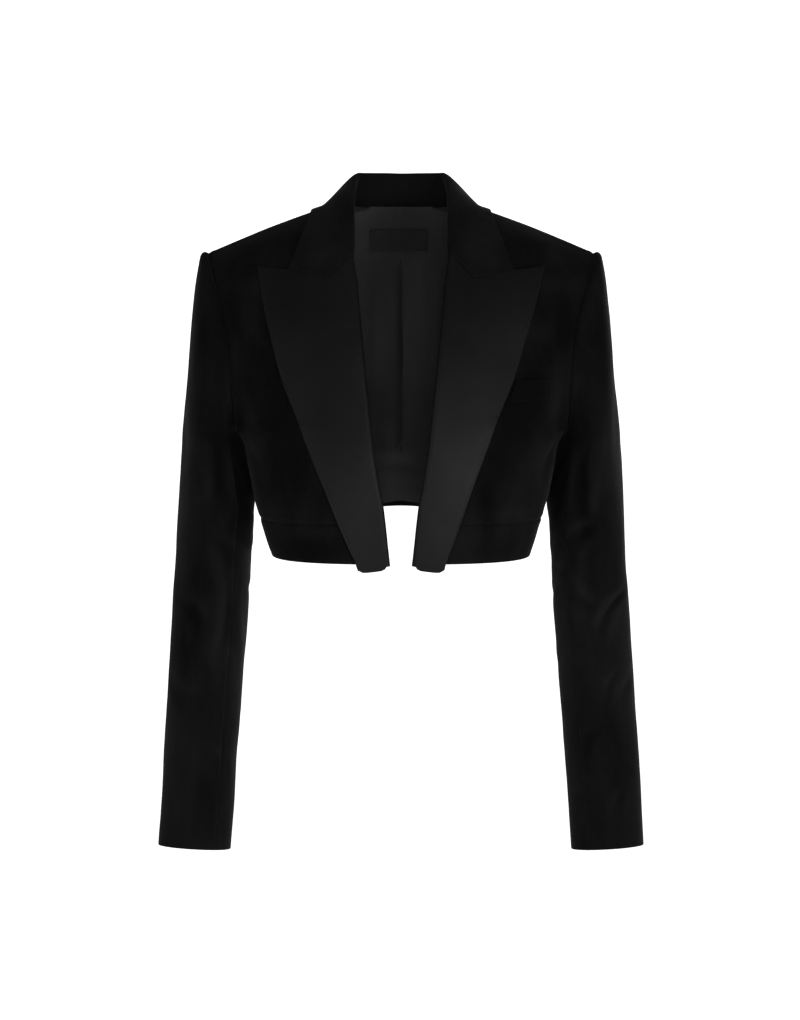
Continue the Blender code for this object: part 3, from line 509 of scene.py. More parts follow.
def outward_normals(grid, at, towards):
    """Normals of a grid, turned so that the one at a place points the given way."""
    facing = normals(grid)
    return facing if np.dot(facing[at], towards) > 0 else -facing


def flatten(directions, axis):
    """Directions without their part along that axis."""
    directions = directions.copy()
    directions[..., axis] = 0.0
    return unit(directions)


def armhole_facing(turns, side):
    """Which way a wall faces where it meets the armhole: side is -1 for the body, 1 a sleeve."""
    directions = []
    for turn in turns:
        place = armhole_at(turn)
        towards = unit([0.0, ARMHOLE_CENTRE_Y - place[1], ARMHOLE_CENTRE_Z - place[2]])
        towards[0] = side * UNDERARM_SPREAD * max(0.0, -math.cos(math.radians(turn))) ** 2
        directions.append(-unit(towards))
    return np.array(directions)


# Rolled and sewn edges. A seam's edge dips by SEAM_DIP over SEAM_SOFT and swells a little beside
# it. A folded edge is rounded over about half the wall. EDGE_SPOTS are the distances of the points
# near an edge, and TURN_REACH is how far from it a wall's facing turns towards the next panel's.
EDGE_SPOTS = (0.0, 0.12, 0.4, 0.9, 1.7, 2.9, 4.4)
SEAM_DIP = 0.95
SEAM_SOFT = 2.6
SEAM_SWELL = 0.35
SEAM_SWELL_AT = 4.6
SEAM_SWELL_WIDE = 2.4
SEAM_INSIDE = 0.4
EDGE_ROUND = 0.48
TURN_REACH = 11.0


def edge_dips(kind, distance, wall):
    """How far the outside and the inside draw in, at each distance from an edge of that kind."""
    radius = wall * EDGE_ROUND
    gone = np.clip(radius - distance, 0.0, radius)
    rounded = radius - np.sqrt(np.maximum(radius ** 2 - gone ** 2, 0.0))
    if kind == "fold":
        return rounded, rounded
    if kind == "seam":
        outside = SEAM_DIP * np.clip(1.0 - distance / SEAM_SOFT, 0.0, 1.0) ** 2
        outside -= SEAM_SWELL * np.exp(-((distance - SEAM_SWELL_AT) / SEAM_SWELL_WIDE) ** 2)
        return outside, rounded * SEAM_INSIDE
    raise ValueError(f"no such edge: {kind}")


def border_distances(grid):
    """Distance of each point from the grid's foot, head, start and end."""
    up = lengths_of(grid)
    across = np.swapaxes(lengths_of(np.swapaxes(grid, 0, 1)), 0, 1)
    return {"foot": up, "head": up[-1] - up, "start": across, "end": across[:, -1:] - across}


def turn_to(facing, distance, edge_facing, axis):
    """Facing that turns softly to the given one at an edge along that axis of the grid."""
    weight = 1.0 - soft_step(distance / TURN_REACH)
    edge = np.expand_dims(edge_facing, axis)
    return unit(facing * (1.0 - weight[..., None]) + edge * weight[..., None])


def level_at(facing, distance, border, flat_axis):
    """Facing that turns at a border until it has no part along that axis of the model."""
    axis = 0 if border in ("foot", "head") else 1
    edge_facing = np.take(facing, -1 if border in ("head", "end") else 0, axis)
    return turn_to(facing, distance[border], flatten(edge_facing, flat_axis), axis)


# Creases in the cloth. u runs across a piece in millimetres: x in the front or back view on the
# body, and SLEEVE_MM for each degree of turn on a sleeve. v is the height. A positive depth is a
# trough with soft ridges beside it, and a negative one a ridge.
Crease = namedtuple("Crease", "from_u from_v to_u to_v bow wide depth")
SLEEVE_MM = 0.77
# A crease is widest and deepest past its middle. Each ridge beside it has its height as a share of
# the depth, and its place and width as shares of the crease's width.
CREASE_WIDE = 0.72
CREASE_WIDENS = 0.5
CREASE_SHALLOW = 0.35
CREASE_DEEPENS = 0.65
Ridge = namedtuple("Ridge", "height off wide")
RIDGES = (Ridge(0.55, 1.9, 1.2), Ridge(0.3, -1.8, 1.3))


def sleeve_creases(rows):
    """Crease rows whose u is given as a turn in degrees."""
    made = table(Crease, rows)
    return [row._replace(from_u=row.from_u * SLEEVE_MM, to_u=row.to_u * SLEEVE_MM) for row in made]


SLEEVE_LEFT_CREASES = sleeve_creases((
    (34, -382, 80, -420, 6, 4.2, 3),
    (58, -462, 74, -486, 3, 4, 1.5),
    (92, -396, 128, -380, -4, 6, 1.4),
    (26, -466, 58, -500, 5, 6.5, 1.5),
    (62, -580, 74, -604, 2, 5, 0.9),
    (84, -316, 124, -346, 6, 6.5, 1.5),
    (60, -250, 76, -330, -5, 9, 1.1),
    (104, -238, 96, -306, 4, 7, 1.4),
    (20, -180, 34, -262, 5, 11, 1),
    (100, -520, 124, -548, 4, 6, 1),
    (12, -300, -4, -390, 4, 10, 0.9),
    (-30, -560, -14, -596, 3, 7, 0.9),
    (-60, -330, -24, -352, 6, 7, 1.5),
    (-92, -350, -46, -376, 7, 7.5, 1.8),
    (-118, -372, -70, -398, -6, 7, 1.6),
    (-124, -410, -88, -424, 5, 6, 1.2),
    (-106, -250, -96, -318, -5, 8, 1.3),
    (-80, -214, -70, -286, 5, 10, 1),
    (-96, -470, -66, -500, 5, 7, 1),
    (-112, -556, -84, -574, 4, 6, 0.9),
))
SLEEVE_RIGHT_CREASES = sleeve_creases((
    (122, -372, 112, -448, 5, 4.5, 2),
    (96, -330, 124, -360, 6, 6.5, 1.4),
    (40, -392, 84, -420, 6, 7, 1.1),
    (30, -470, 70, -494, -4, 7, 1),
    (100, -536, 120, -560, 3, 5.5, 0.9),
    (64, -244, 78, -322, -5, 9, 1.1),
    (106, -236, 94, -300, 4, 7, 1.3),
    (18, -190, 30, -276, 5, 11, 1),
    (8, -340, -6, -420, -4, 10, 0.8),
    (-26, -540, -8, -586, 3, 8, 0.8),
    (-52, -322, -18, -346, 5, 7, 1.4),
    (-88, -344, -42, -366, 7, 7.5, 1.9),
    (-120, -366, -66, -392, -6, 7, 1.6),
    (-122, -402, -92, -420, 5, 6, 1.1),
    (-104, -244, -94, -312, -5, 8, 1.3),
    (-78, -210, -66, -280, 5, 10, 1),
    (-100, -486, -68, -508, 5, 7, 1),
    (-110, -566, -82, -582, 4, 6, 0.8),
))
UNDER_LEFT_CREASES = sleeve_creases((
    (134, -330, 176, -352, -6, 6, 1.7),
    (132, -362, 168, -374, 5, 5.5, 1.4),
    (138, -296, 188, -318, 6, 7, 1.3),
    (176, -386, 214, -412, 5, 7, 1.2),
    (140, -250, 152, -288, 3, 6, 1.2),
    (150, -440, 184, -462, -4, 7, 0.9),
    (190, -520, 216, -548, 4, 7, 0.9),
    (196, -250, 206, -300, -4, 8, 1.1),
))
UNDER_RIGHT_CREASES = sleeve_creases((
    (136, -376, 146, -452, -5, 5, 1.5),
    (134, -548, 144, -566, 2, 4.5, 0.9),
    (136, -324, 180, -346, -6, 6, 1.5),
    (140, -290, 190, -312, 6, 7, 1.2),
    (174, -380, 212, -404, 5, 7, 1.2),
    (142, -250, 154, -286, 3, 6, 1.1),
    (188, -512, 214, -540, 4, 7, 0.9),
    (198, -250, 208, -300, -4, 8, 1),
))
FRONT_LEFT_CREASES = table(Crease, (
    (160, -214, 138, -262, 5, 6.5, 1.3),
    (152, -236, 140, -298, -4, 6, 1.2),
    (164, -186, 150, -222, 4, 6, 0.9),
    (128, -262, 120, -304, 3, 8, 0.8),
    (168, -96, 150, -140, 6, 9, 0.8),
    (182, -58, 128, -44, 5, 9, 0.7),
    (112, -120, 142, -150, -4, 11, 0.5),
))
FRONT_RIGHT_CREASES = table(Crease, (
    (160, -210, 142, -252, 5, 6.5, 1.2),
    (150, -240, 136, -300, -4, 6.5, 1),
    (164, -182, 148, -226, 4, 6, 0.9),
    (124, -254, 118, -302, 3, 8, 0.8),
    (170, -92, 146, -146, 6, 9, 0.9),
    (180, -60, 132, -42, 5, 9, 0.6),
))
BACK_LEFT_CREASES = table(Crease, (
    (160, -206, 136, -262, 5, 7, 1.4),
    (166, -168, 146, -222, 5, 7, 1.1),
    (172, -96, 118, -132, 8, 11, 0.9),
    (186, -58, 110, -34, 6, 10, 0.8),
    (22, -236, 74, -250, -5, 8, 1.1),
    (16, -206, 60, -216, 4, 8, 0.8),
    (84, -160, 96, -258, 6, 13, 0.9),
    (30, -2, 34, -44, 3, 9, 0.6),
))
BACK_RIGHT_CREASES = table(Crease, (
    (158, -200, 132, -256, 5, 7, 1.3),
    (166, -164, 142, -226, 5, 7, 1.1),
    (172, -90, 124, -128, 8, 11, 0.9),
    (184, -60, 116, -36, 6, 10, 0.7),
    (18, -242, 66, -256, -5, 8, 1),
    (30, -212, 78, -224, 4, 8, 0.9),
    (92, -150, 98, -250, 6, 13, 0.8),
    (34, -4, 30, -40, 3, 9, 0.5),
))
LAPEL_CREASES = table(Crease, (
    (44, -120, 96, -150, 5, 14, 0.35),
    (40, -232, 74, -250, -4, 11, 0.35),
    (30, -300, 52, -322, 3, 9, 0.3),
))
LINING_CREASES = table(Crease, (
    (14, -60, 10, -180, 3, 4, 0.5),
    (26, -40, 34, -250, -5, 6, 0.6),
    (48, -36, 44, -280, 5, 8, 0.6),
    (-14, -50, -12, -210, -3, 4, 0.4),
    (-30, -40, -28, -270, 4, 6, 0.6),
    (-56, -36, -60, -286, -5, 8, 0.5),
    (-40, -262, 30, -270, 5, 6, 0.5),
    (10, -284, 70, -292, -4, 6, 0.4),
))


def creased(u, v, creases):
    """Height in mm of the creases at places u across and v up."""
    height = np.zeros_like(u)
    for row in creases:
        run, rise = row.to_u - row.from_u, row.to_v - row.from_v
        length = math.hypot(run, rise)
        run, rise = run / length, rise / length
        t = ((u - row.from_u) * run + (v - row.from_v) * rise) / length
        inside = np.clip(t, 0.0, 1.0)
        off = (v - row.from_v) * run - (u - row.from_u) * rise
        off -= row.bow * 4.0 * inside * (1.0 - inside)
        wide = row.wide * (CREASE_WIDE + CREASE_WIDENS * inside)
        beyond = np.maximum(np.abs(t - 0.5) - 0.5, 0.0) * length / wide
        strength = CREASE_SHALLOW + CREASE_DEEPENS * np.sin(math.pi * inside)
        strength *= row.depth * np.exp(-beyond ** 2)
        form = np.exp(-(off / wide) ** 2)
        for ridge in RIDGES:
            form -= ridge.height * np.exp(-((off - ridge.off * wide) / (ridge.wide * wide)) ** 2)
        height -= strength * form
    return height


# Low waves in each piece's cloth, in millimetres, so that no panel is as smooth as sheet metal.
Wave = namedtuple("Wave", "size height seed")
WAVES = {
    "front": (Wave(55, 0.9, 1), Wave(21, 0.22, 3)),
    "back": (Wave(60, 0.9, 5), Wave(23, 0.22, 7)),
    "back_band": (Wave(55, 0.8, 9), Wave(21, 0.2, 10)),
    "top_sleeve": (Wave(60, 1.0, 12), Wave(24, 0.25, 14)),
    "under_sleeve": (Wave(60, 1.0, 12), Wave(24, 0.25, 14)),
    "collar": (Wave(40, 0.45, 21), Wave(17, 0.14, 22)),
    "lapel": (Wave(48, 0.5, 31), Wave(20, 0.12, 33)),
    "welt": (Wave(18, 0.18, 41),),
    "lining": (Wave(26, 0.3, 51),),
    "label": (Wave(15, 0.25, 61),),
}
SEED_SHIFT = (7.3, 3.1, 11.7)


def waved(grid, piece, mirror=False):
    """Height in mm of the waves of a piece at each point of its grid."""
    height = np.zeros(grid.shape[:2])
    for wave in WAVES[piece]:
        shift = Vector([step * (wave.seed + mirror) for step in SEED_SHIFT])
        heights = [noise.noise(Vector(point) / wave.size + shift) for point in grid.reshape(-1, 3)]
        height += wave.height * np.array(heights).reshape(height.shape)
    return height


def fade(distance, borders, reach):
    """From 0 at the named borders of a grid to 1 at that reach from them."""
    return soft_step(np.minimum.reduce([distance[border] for border in borders]) / reach)


# Patches where the cloth is painted lighter or darker: middle across and up, half sizes, and how
# much lighter or darker the cloth is there. Most are painted shade and painted highlight, such as
# shade under the arms and beside the lapels, sheen along the sleeves' outer sides, the satin's
# highlight low on the lapels and light and shade on the lining; the rest are lighter and darker
# pile.
Patch = namedtuple("Patch", "u v wide high tone")
# Painted shade beside the lapels and under the arm, and painted highlight along the side below the
# arm, among lighter and darker pile.
FRONT_LEFT_PATCHES = table(Patch, (
    (158, -110, 26, 48, -0.6), (128, -176, 20, 40, -0.5), (104, -240, 16, 42, -0.4),
    (164, -250, 8, 46, -0.7), (84, -290, 14, 26, -0.35), (144, -264, 10, 30, 0.55),
    (156, -196, 9, 34, 0.35), (118, -300, 30, 8, 0.3), (120, -30, 40, 12, -0.15),
    (140, -330, 22, 14, 0.1), (132, -200, 16, 40, -0.3), (98, -334, 28, 12, -0.25),
))
FRONT_RIGHT_PATCHES = table(Patch, (
    (150, -120, 24, 60, -0.35), (122, -176, 20, 40, -0.4), (98, -240, 16, 42, -0.4),
    (164, -250, 8, 46, -0.7), (78, -290, 14, 26, -0.3), (148, -240, 8, 36, 0.25),
    (140, -300, 26, 8, 0.2), (120, -30, 40, 12, -0.15), (92, -334, 34, 12, -0.55),
    (122, -246, 20, 48, -0.6),
))
BACK_PATCHES = table(Patch, (
    (40, -70, 30, 40, -0.3), (110, -100, 30, 50, -0.25), (70, -190, 26, 40, 0.25),
    (150, -220, 12, 40, 0.35), (20, -240, 22, 30, -0.3), (90, -286, 30, 12, 0.2),
    (150, -60, 24, 18, 0.2),
))


def sleeve_patches(rows):
    """Patch rows whose u is given as a turn in degrees."""
    return [Patch(u * SLEEVE_MM, v, wide, high, tone) for u, v, wide, high, tone in rows]


# Painted sheen along the sleeves' outer sides and painted shade on their fronts near the armhole,
# among lighter and darker pile.
TOP_LEFT_PATCHES = sleeve_patches((
    (38, -246, 20, 44, 0.6), (100, -300, 26, 70, -0.4), (70, -150, 30, 50, -0.35),
    (52, -410, 20, 20, 0.35), (46, -500, 18, 44, 0.35), (90, -560, 24, 70, -0.2),
    (30, -610, 18, 30, 0.25), (112, -380, 10, 60, 0.3), (-40, -300, 34, 60, -0.3),
    (-80, -420, 30, 60, 0.3), (-60, -560, 26, 60, -0.25), (-20, -180, 30, 40, 0.2),
))
TOP_RIGHT_PATCHES = sleeve_patches((
    (34, -300, 20, 60, 0.3), (96, -260, 26, 70, -0.3), (66, -140, 30, 50, -0.3),
    (60, -420, 22, 60, -0.25), (40, -520, 18, 60, 0.3), (110, -420, 9, 50, 0.45),
    (100, -600, 24, 40, -0.2), (60, -610, 20, 30, 0.15), (-44, -310, 34, 60, -0.3),
    (-76, -410, 30, 60, 0.3), (-56, -540, 26, 60, -0.25), (-20, -190, 30, 40, 0.2),
))
# Painted shade under the arm, where the sleeve lies against the body, with a little lighter and
# darker pile.
UNDER_PATCHES = sleeve_patches((
    (148, -268, 20, 44, -0.8), (146, -440, 14, 60, 0.2), (200, -330, 20, 60, -0.2),
    (180, -520, 20, 60, 0.15),
))
COLLAR_PATCHES = table(Patch, (
    (86, -14, 22, 24, 0.5), (70, -40, 20, 20, 0.3), (0, 20, 60, 14, 0.35),
))
# Painted highlight of the satin low on the lapels and painted shade above it.
LAPEL_LEFT_PATCHES = table(Patch, (
    (60, -262, 26, 34, 0.7), (40, -316, 22, 34, 0.45), (92, -224, 14, 30, 0.35),
    (90, -110, 44, 60, -0.05), (56, -160, 20, 50, -0.1),
))
LAPEL_RIGHT_PATCHES = table(Patch, (
    (44, -300, 26, 40, 0.45), (56, -244, 22, 26, 0.15), (96, -110, 44, 70, -0.2),
    (60, -200, 26, 46, -0.5),
))
# Painted light and shade on the lining: lighter beside the pleat, darker on its other side and
# darker towards the hem.
LINING_PATCHES = table(Patch, (
    (-24, -40, 16, 26, 0.3), (22, -130, 18, 70, 0.9), (-22, -140, 18, 80, -0.45),
    (30, -250, 20, 40, 0.1), (0, -270, 70, 32, -0.8),
))
CREASES = {
    ("front", "left"): FRONT_LEFT_CREASES, ("front", "right"): FRONT_RIGHT_CREASES,
    ("back", "left"): BACK_LEFT_CREASES, ("back", "right"): BACK_RIGHT_CREASES,
    ("top_sleeve", "left"): SLEEVE_LEFT_CREASES, ("top_sleeve", "right"): SLEEVE_RIGHT_CREASES,
    ("under_sleeve", "left"): UNDER_LEFT_CREASES, ("under_sleeve", "right"): UNDER_RIGHT_CREASES,
}
PAINTED_LIGHT_AND_NAP_PATCHES = {
    ("front", "left"): FRONT_LEFT_PATCHES, ("front", "right"): FRONT_RIGHT_PATCHES,
    ("back", "left"): BACK_PATCHES, ("back", "right"): BACK_PATCHES,
    ("top_sleeve", "left"): TOP_LEFT_PATCHES, ("top_sleeve", "right"): TOP_RIGHT_PATCHES,
    ("under_sleeve", "left"): UNDER_PATCHES, ("under_sleeve", "right"): UNDER_PATCHES,
    ("lapel", "left"): LAPEL_LEFT_PATCHES, ("lapel", "right"): LAPEL_RIGHT_PATCHES,
}
# Painted highlight on the ridges beside each crease and painted shade in its trough, for each
# millimetre of the crease's height.
RIDGE_PAINTED_HIGHLIGHT = 0.55
TROUGH_PAINTED_SHADE = 0.12
# Edges that turn more than this many degrees are sharp.
SHARP_FROM = 62.0


def painted_light_and_nap(u, v, patches, creases=0.0):
    """How much lighter or darker the cloth is painted at places u across and v up: its patches,
    painted highlight on its creases' ridges and painted shade in their troughs.
    """
    tone = RIDGE_PAINTED_HIGHLIGHT * np.maximum(creases, 0.0) + TROUGH_PAINTED_SHADE * np.minimum(creases, 0.0)
    tone = tone + np.zeros(np.broadcast(u, v).shape)
    for row in patches:
        tone += row.tone * np.exp(-((u - row.u) / row.wide) ** 2 - ((v - row.v) / row.high) ** 2)
    return tone


def make_mesh(name, points, faces, cloths, material_of=None):
    """A piece of the jacket from points in millimetres."""
    mesh = bpy.data.meshes.new(name)
    mesh.from_pydata((np.asarray(points) * MM).tolist(), [], faces)
    for cloth in cloths:
        mesh.materials.append(cloth)
    if material_of is not None:
        mesh.polygons.foreach_set("material_index", material_of)
    mesh.update()
    mesh.shade_smooth()
    mesh.set_sharp_from_angle(angle=math.radians(SHARP_FROM))
    piece = bpy.data.objects.new(name, mesh)
    bpy.context.scene.collection.objects.link(piece)
    return piece


def shell(name, grid, facing, wall, edges, cloths, creases=None, under=None, mirror=False,
          tone=None):
    """A closed thin shell on a grid of points: rolled edges, creases, and a cloth on each side.

    edges names the kind of each border. under is a mask of inside faces that take the second
    cloth. creases is the height of the creases at each point, and tone how much lighter it is
    painted, which holds painted highlight and painted shade.
    """
    rows, columns = grid.shape[:2]
    distance = border_distances(grid)
    outside = np.zeros((rows, columns))
    inside = np.zeros((rows, columns))
    for border, kind in edges.items():
        dip_out, dip_in = edge_dips(kind, distance[border], wall)
        outside = np.where(np.abs(dip_out) > np.abs(outside), dip_out, outside)
        inside = np.maximum(inside, dip_in)
    if creases is not None:
        grid = grid + facing * creases[..., None]
    outer = grid - facing * outside[..., None]
    inner = grid - facing * (wall - inside)[..., None]
    if mirror:
        outer, inner = outer * MIRRORED, inner * MIRRORED
    number = np.arange(rows * columns).reshape(rows, columns)
    a, b = number[:-1, :-1].ravel(), number[:-1, 1:].ravel()
    c, d = number[1:, 1:].ravel(), number[1:, :-1].ravel()
    front = np.stack([a, b, c, d], axis=1)
    back = front[:, ::-1] + rows * columns
    ring = np.concatenate([number[0, :-1], number[:-1, -1], number[-1, :0:-1], number[:0:-1, 0]])
    after = np.roll(ring, -1)
    sides = np.stack([ring, ring + rows * columns, after + rows * columns, after], axis=1)
    faces = np.concatenate([front, back, sides])
    middle = grid[rows // 2, columns // 2]
    across = grid[rows // 2, columns // 2 + 1] - middle
    up = grid[rows // 2 + 1, columns // 2] - middle
    outwards = np.dot(np.cross(across, up), facing[rows // 2, columns // 2]) > 0
    if outwards == mirror:
        faces = faces[:, ::-1]
    material_of = np.zeros(len(faces), int)
    if under is not None:
        whole = under[:-1, :-1] & under[:-1, 1:] & under[1:, 1:] & under[1:, :-1]
        material_of[len(front):len(front) + len(back)] = whole.ravel().astype(int)
    points = np.concatenate([outer.reshape(-1, 3), inner.reshape(-1, 3)])
    piece = make_mesh(name, points, faces.tolist(), cloths, material_of.tolist())
    # The tone attribute carries painted highlight and painted shade to the cloth's colour.
    tones = np.zeros(len(points), np.float32)
    if tone is not None:
        tones[:rows * columns] = tone.ravel()
    piece.data.attributes.new("tone", "FLOAT", "POINT").data.foreach_set("value", tones)
    return piece


class Surface:
    """The outside of the body on the wearer's left and right, to lay other pieces on."""

    def __init__(self):
        shares = np.linspace(0.0, 1.0, SURFACE_COLUMNS)
        points, faces = [], []
        for rows, turned in ((front_rows(), False), (back_rows(), True)):
            places = np.linspace(0, len(rows) - 1, SURFACE_ROWS)
            grid = np.array([section(between_rows(rows, place), shares) for place in places])
            grid = eased(grid)
            if not turned:
                ahead = grid[:, :1] - np.array([EDGE_SPARE, 0.0, 0.0])
                grid = np.concatenate([ahead, grid], axis=1)
            wide = grid.shape[1]
            for mirror in (False, True):
                flip = -1.0 if mirror else 1.0
                first = len(points)
                points += [(x * flip, y, z) for row in grid for x, y, z in row]
                for i in range(len(places) - 1):
                    for j in range(wide - 1):
                        a = first + i * wide + j
                        quad = (a, a + 1, a + wide + 1, a + wide)
                        faces.append(quad if turned == mirror else quad[::-1])
        self.tree = BVHTree.FromPolygons(points, faces)

    def outward(self, hit, normal):
        """The place and its normal, turned away from the body's middle."""
        hit, normal = np.array(hit), np.array(normal)
        away = hit - np.array([0.0, 0.0, BODY_MIDDLE_Z])
        return hit, normal if np.dot(normal, away) > 0 else -normal

    def seen(self, x, z, side):
        """The place at x and z seen from the front (side -1) or back (1), and its normal."""
        start = Vector((x, side * FAR_AWAY, z))
        hit, normal, _, _ = self.tree.ray_cast(start, Vector((0.0, -side, 0.0)))
        if hit is None:
            raise ValueError(f"nothing at x {x} z {z}")
        return self.outward(hit, normal)

    def softened(self, x, z, side=-1.0):
        """The same, with the normal averaged over a few millimetres.

        On the back it looks only level and downwards, because the neck's edge is just above.
        """
        place, _ = self.seen(x, z, side)
        total = np.zeros(3)
        for dx in (-NORMAL_REACH, 0.0, NORMAL_REACH):
            for dz in (-NORMAL_REACH, 0.0, NORMAL_REACH):
                if dz <= 0.0 or side < 0.0:
                    total += self.seen(x + dx, z + dz, side)[1]
        return place, unit(total)

    def lifted(self, point, clear):
        """The point, moved out along the nearest normal until it is that clear of the body."""
        hit, normal, _, _ = self.tree.find_nearest(Vector(point))
        hit, normal = self.outward(hit, normal)
        height = float(np.dot(np.asarray(point) - hit, normal))
        if height < clear:
            return np.asarray(point) + normal * (clear - height)
        return np.asarray(point)


def panel_edge(z):
    """A point of the front's edge as it is built, straight between its rows."""
    starts = np.array([row[0] for row in front_rows()])
    return np.array([np.interp(z, starts[:, 2], starts[:, axis]) for axis in range(3)])


def swing(z):
    """How far the lapels' outer edges lie off their mean place, at each height."""
    middle = (PEAK_TIP.z + HEM_Z) / 2
    half = (PEAK_TIP.z - HEM_Z) / 2
    return LAPEL_SWING * max(0.0, 1.0 - ((z - middle) / half) ** 2)


def lapel_outline(side):
    """Fold line and outer edge of a lapel in the front view, from its foot to its top."""
    edge_rows = np.array(FRONT_EDGE)
    shares = np.linspace(0.0, 1.0, LAPEL_KEYS)
    foot_z = LAPEL_FOOT[0].z
    fold_z = foot_z + (GORGE_TOP.z - foot_z) * shares
    fold_x = smooth(edge_rows[:, 0], edge_rows[:, 1], fold_z)
    dense = np.array(LAPEL_EDGE[::-1])
    steps = lengths_of(dense)
    outer = smooth(steps, dense, shares * steps[-1])
    outer[:, 0] -= side * np.array([swing(z) for z in outer[:, 1]])
    return fold_x, fold_z, outer


def lapel_spots(side):
    """Front-view places of the lapel's grid: rows from foot to top, columns from the fold."""
    fold_x, fold_z, outer = lapel_outline(side)
    gorge = (Spot(fold_x[-1], fold_z[-1]), GORGE_CORNER, GORGE_END, PEAK_TIP)
    top = np.array([[spot.x, spot.z] for spot in gorge])
    reach = (top[:, 0] - top[0, 0]) / (top[-1, 0] - top[0, 0])
    parts = [np.linspace(reach[k], reach[k + 1], LAPEL_TOP_KEYS)[:-1] for k in range(3)]
    foot = np.array([[spot.x, spot.z] for spot in LAPEL_FOOT])
    foot_reach = (foot[:, 0] - foot[0, 0]) / (foot[-1, 0] - foot[0, 0])
    columns = np.unique(np.concatenate([*parts, foot_reach]).round(4))
    places = np.zeros((LAPEL_KEYS, len(columns), 2))
    for i in range(LAPEL_KEYS):
        start = np.array([fold_x[i], fold_z[i]])
        places[i] = start + (outer[i] - start) * columns[:, None]
    top_drop = np.interp(columns, reach, top[:, 1]) - places[-1, :, 1]
    foot_drop = np.interp(columns, foot_reach, foot[:, 1]) - places[0, :, 1]
    share = np.linspace(0.0, 1.0, LAPEL_KEYS)[:, None]
    places[:, :, 1] += top_drop * share ** LAPEL_TOP_FADE
    places[:, :, 1] += foot_drop * (1.0 - share) ** LAPEL_FOOT_FADE
    return columns, places


# Turns in degrees at which the satin's fold round the front edge has its points.
HOOK_TURNS = (270, 247, 225, 202, 180, 157, 135)


def lapel_grid(surface, side):
    """The satin's outside, from the turned-in return round the fold to the outer edge."""
    columns, places = lapel_spots(side)
    outer = []
    for row in places:
        normal = surface.softened(*row[0])[1]
        edge = panel_edge(row[0][1])
        into = unit(np.cross(np.cross(normal, [1.0, 0.0, 0.0]), normal))
        middle = edge - normal * VELVET_WALL / 2
        line = [middle - normal * FOLD_RADIUS + into * LAPEL_RETURN]
        for angle in np.radians(HOOK_TURNS):
            line.append(middle + (into * math.cos(angle) + normal * math.sin(angle)) * FOLD_RADIUS)
        for share, (x, z) in zip(columns, row):
            place, out = surface.softened(x, z)
            lift = FOLD_RADIUS - LAPEL_WALL - VELVET_WALL / 2
            lift += (LAPEL_LIFT - lift) * min(1.0, share / LAPEL_ROLL_SHARE)
            lift += (LAPEL_EDGE_LIFT - LAPEL_LIFT) * share ** 3
            line.append(place + out * (lift + LAPEL_WALL))
        outer.append(line)
    outer = np.array(outer)
    outer[-1, :, 2] -= GORGE_HALF_GAP
    return outer


def finer(grid, step):
    """A grid of keys, read again on a smooth surface through them with a point every step."""
    high = np.mean(lengths_of(grid), axis=1)
    wide = np.mean(lengths_of(np.swapaxes(grid, 0, 1)), axis=1)
    rows = np.interp(shares_of(high[-1], step) * high[-1], high, np.arange(len(high)))
    columns = np.interp(shares_of(wide[-1], step) * wide[-1], wide, np.arange(len(wide)))
    tall = smooth(np.arange(grid.shape[0]), grid, rows)
    full = smooth(np.arange(grid.shape[1]), np.swapaxes(tall, 0, 1), columns)
    return np.swapaxes(full, 0, 1)


def collar_frames(fold):
    """Directions outwards and up across the collar at each place along its fold."""
    along_fold = unit(np.gradient(fold, axis=0))
    outward = unit(np.cross([0.0, 0.0, 1.0], along_fold))
    outward[0] = (0.0, 1.0, 0.0)
    return outward, unit(np.cross(along_fold, outward))


def collar_line(surface, fold, neck, edge, dip, outward, up):
    """The visible side across the collar: up the stand, round the fold and down the fall."""
    centre = fold - up * COLLAR_RADIUS
    stand = fold - neck
    rise = unit(outward * np.dot(stand, outward) + up * np.dot(stand, up))
    sideways = up * np.dot(rise, outward) - outward * np.dot(rise, up)
    inside = neck + sideways * COLLAR_WALL + rise * SEAM_GAP
    fall = edge - fold
    first = math.degrees(math.atan2(-np.dot(stand, outward), np.dot(stand, up)))
    last = math.degrees(math.atan2(-np.dot(fall, up), np.dot(fall, outward)))
    arc = []
    for turn in np.radians(np.linspace(180.0 + first, 90.0 - COLLAR_TURN * last, COLLAR_ARC)):
        arc.append(centre + (outward * math.cos(turn) + up * math.sin(turn)) * COLLAR_RADIUS)
    line = [inside + (arc[0] - inside) * step / COLLAR_STAND for step in range(COLLAR_STAND)] + arc
    for step in range(1, COLLAR_FALL + 1):
        share = step / COLLAR_FALL
        point = arc[-1] + (edge - arc[-1]) * share
        point[2] = arc[-1][2] + (edge[2] - arc[-1][2]) * share ** FALL_ROUND
        point[2] -= dip * np.interp(share, (0.0, DIP_SHARE, 1.0), (0.0, 1.0, 0.0))
        line.append(surface.lifted(point, FALL_LIFT + COLLAR_WALL))
    return line


def gorge_points(surface, count):
    """The collar's front end from the fold to the notch, on the outside of the collar."""
    first = (front_edge(GORGE_TOP.z)[0], GORGE_TOP.z)
    upper = np.linspace(first, GORGE_CORNER, count // 2 + 1)
    lower = np.linspace(GORGE_CORNER, GORGE_END, count - count // 2 + 1)
    points = []
    for x, z in np.concatenate([upper, lower[1:]]):
        place, out = surface.softened(x, z)
        points.append(place + out * (COLLAR_LIFT + COLLAR_WALL))
    return np.array(points)


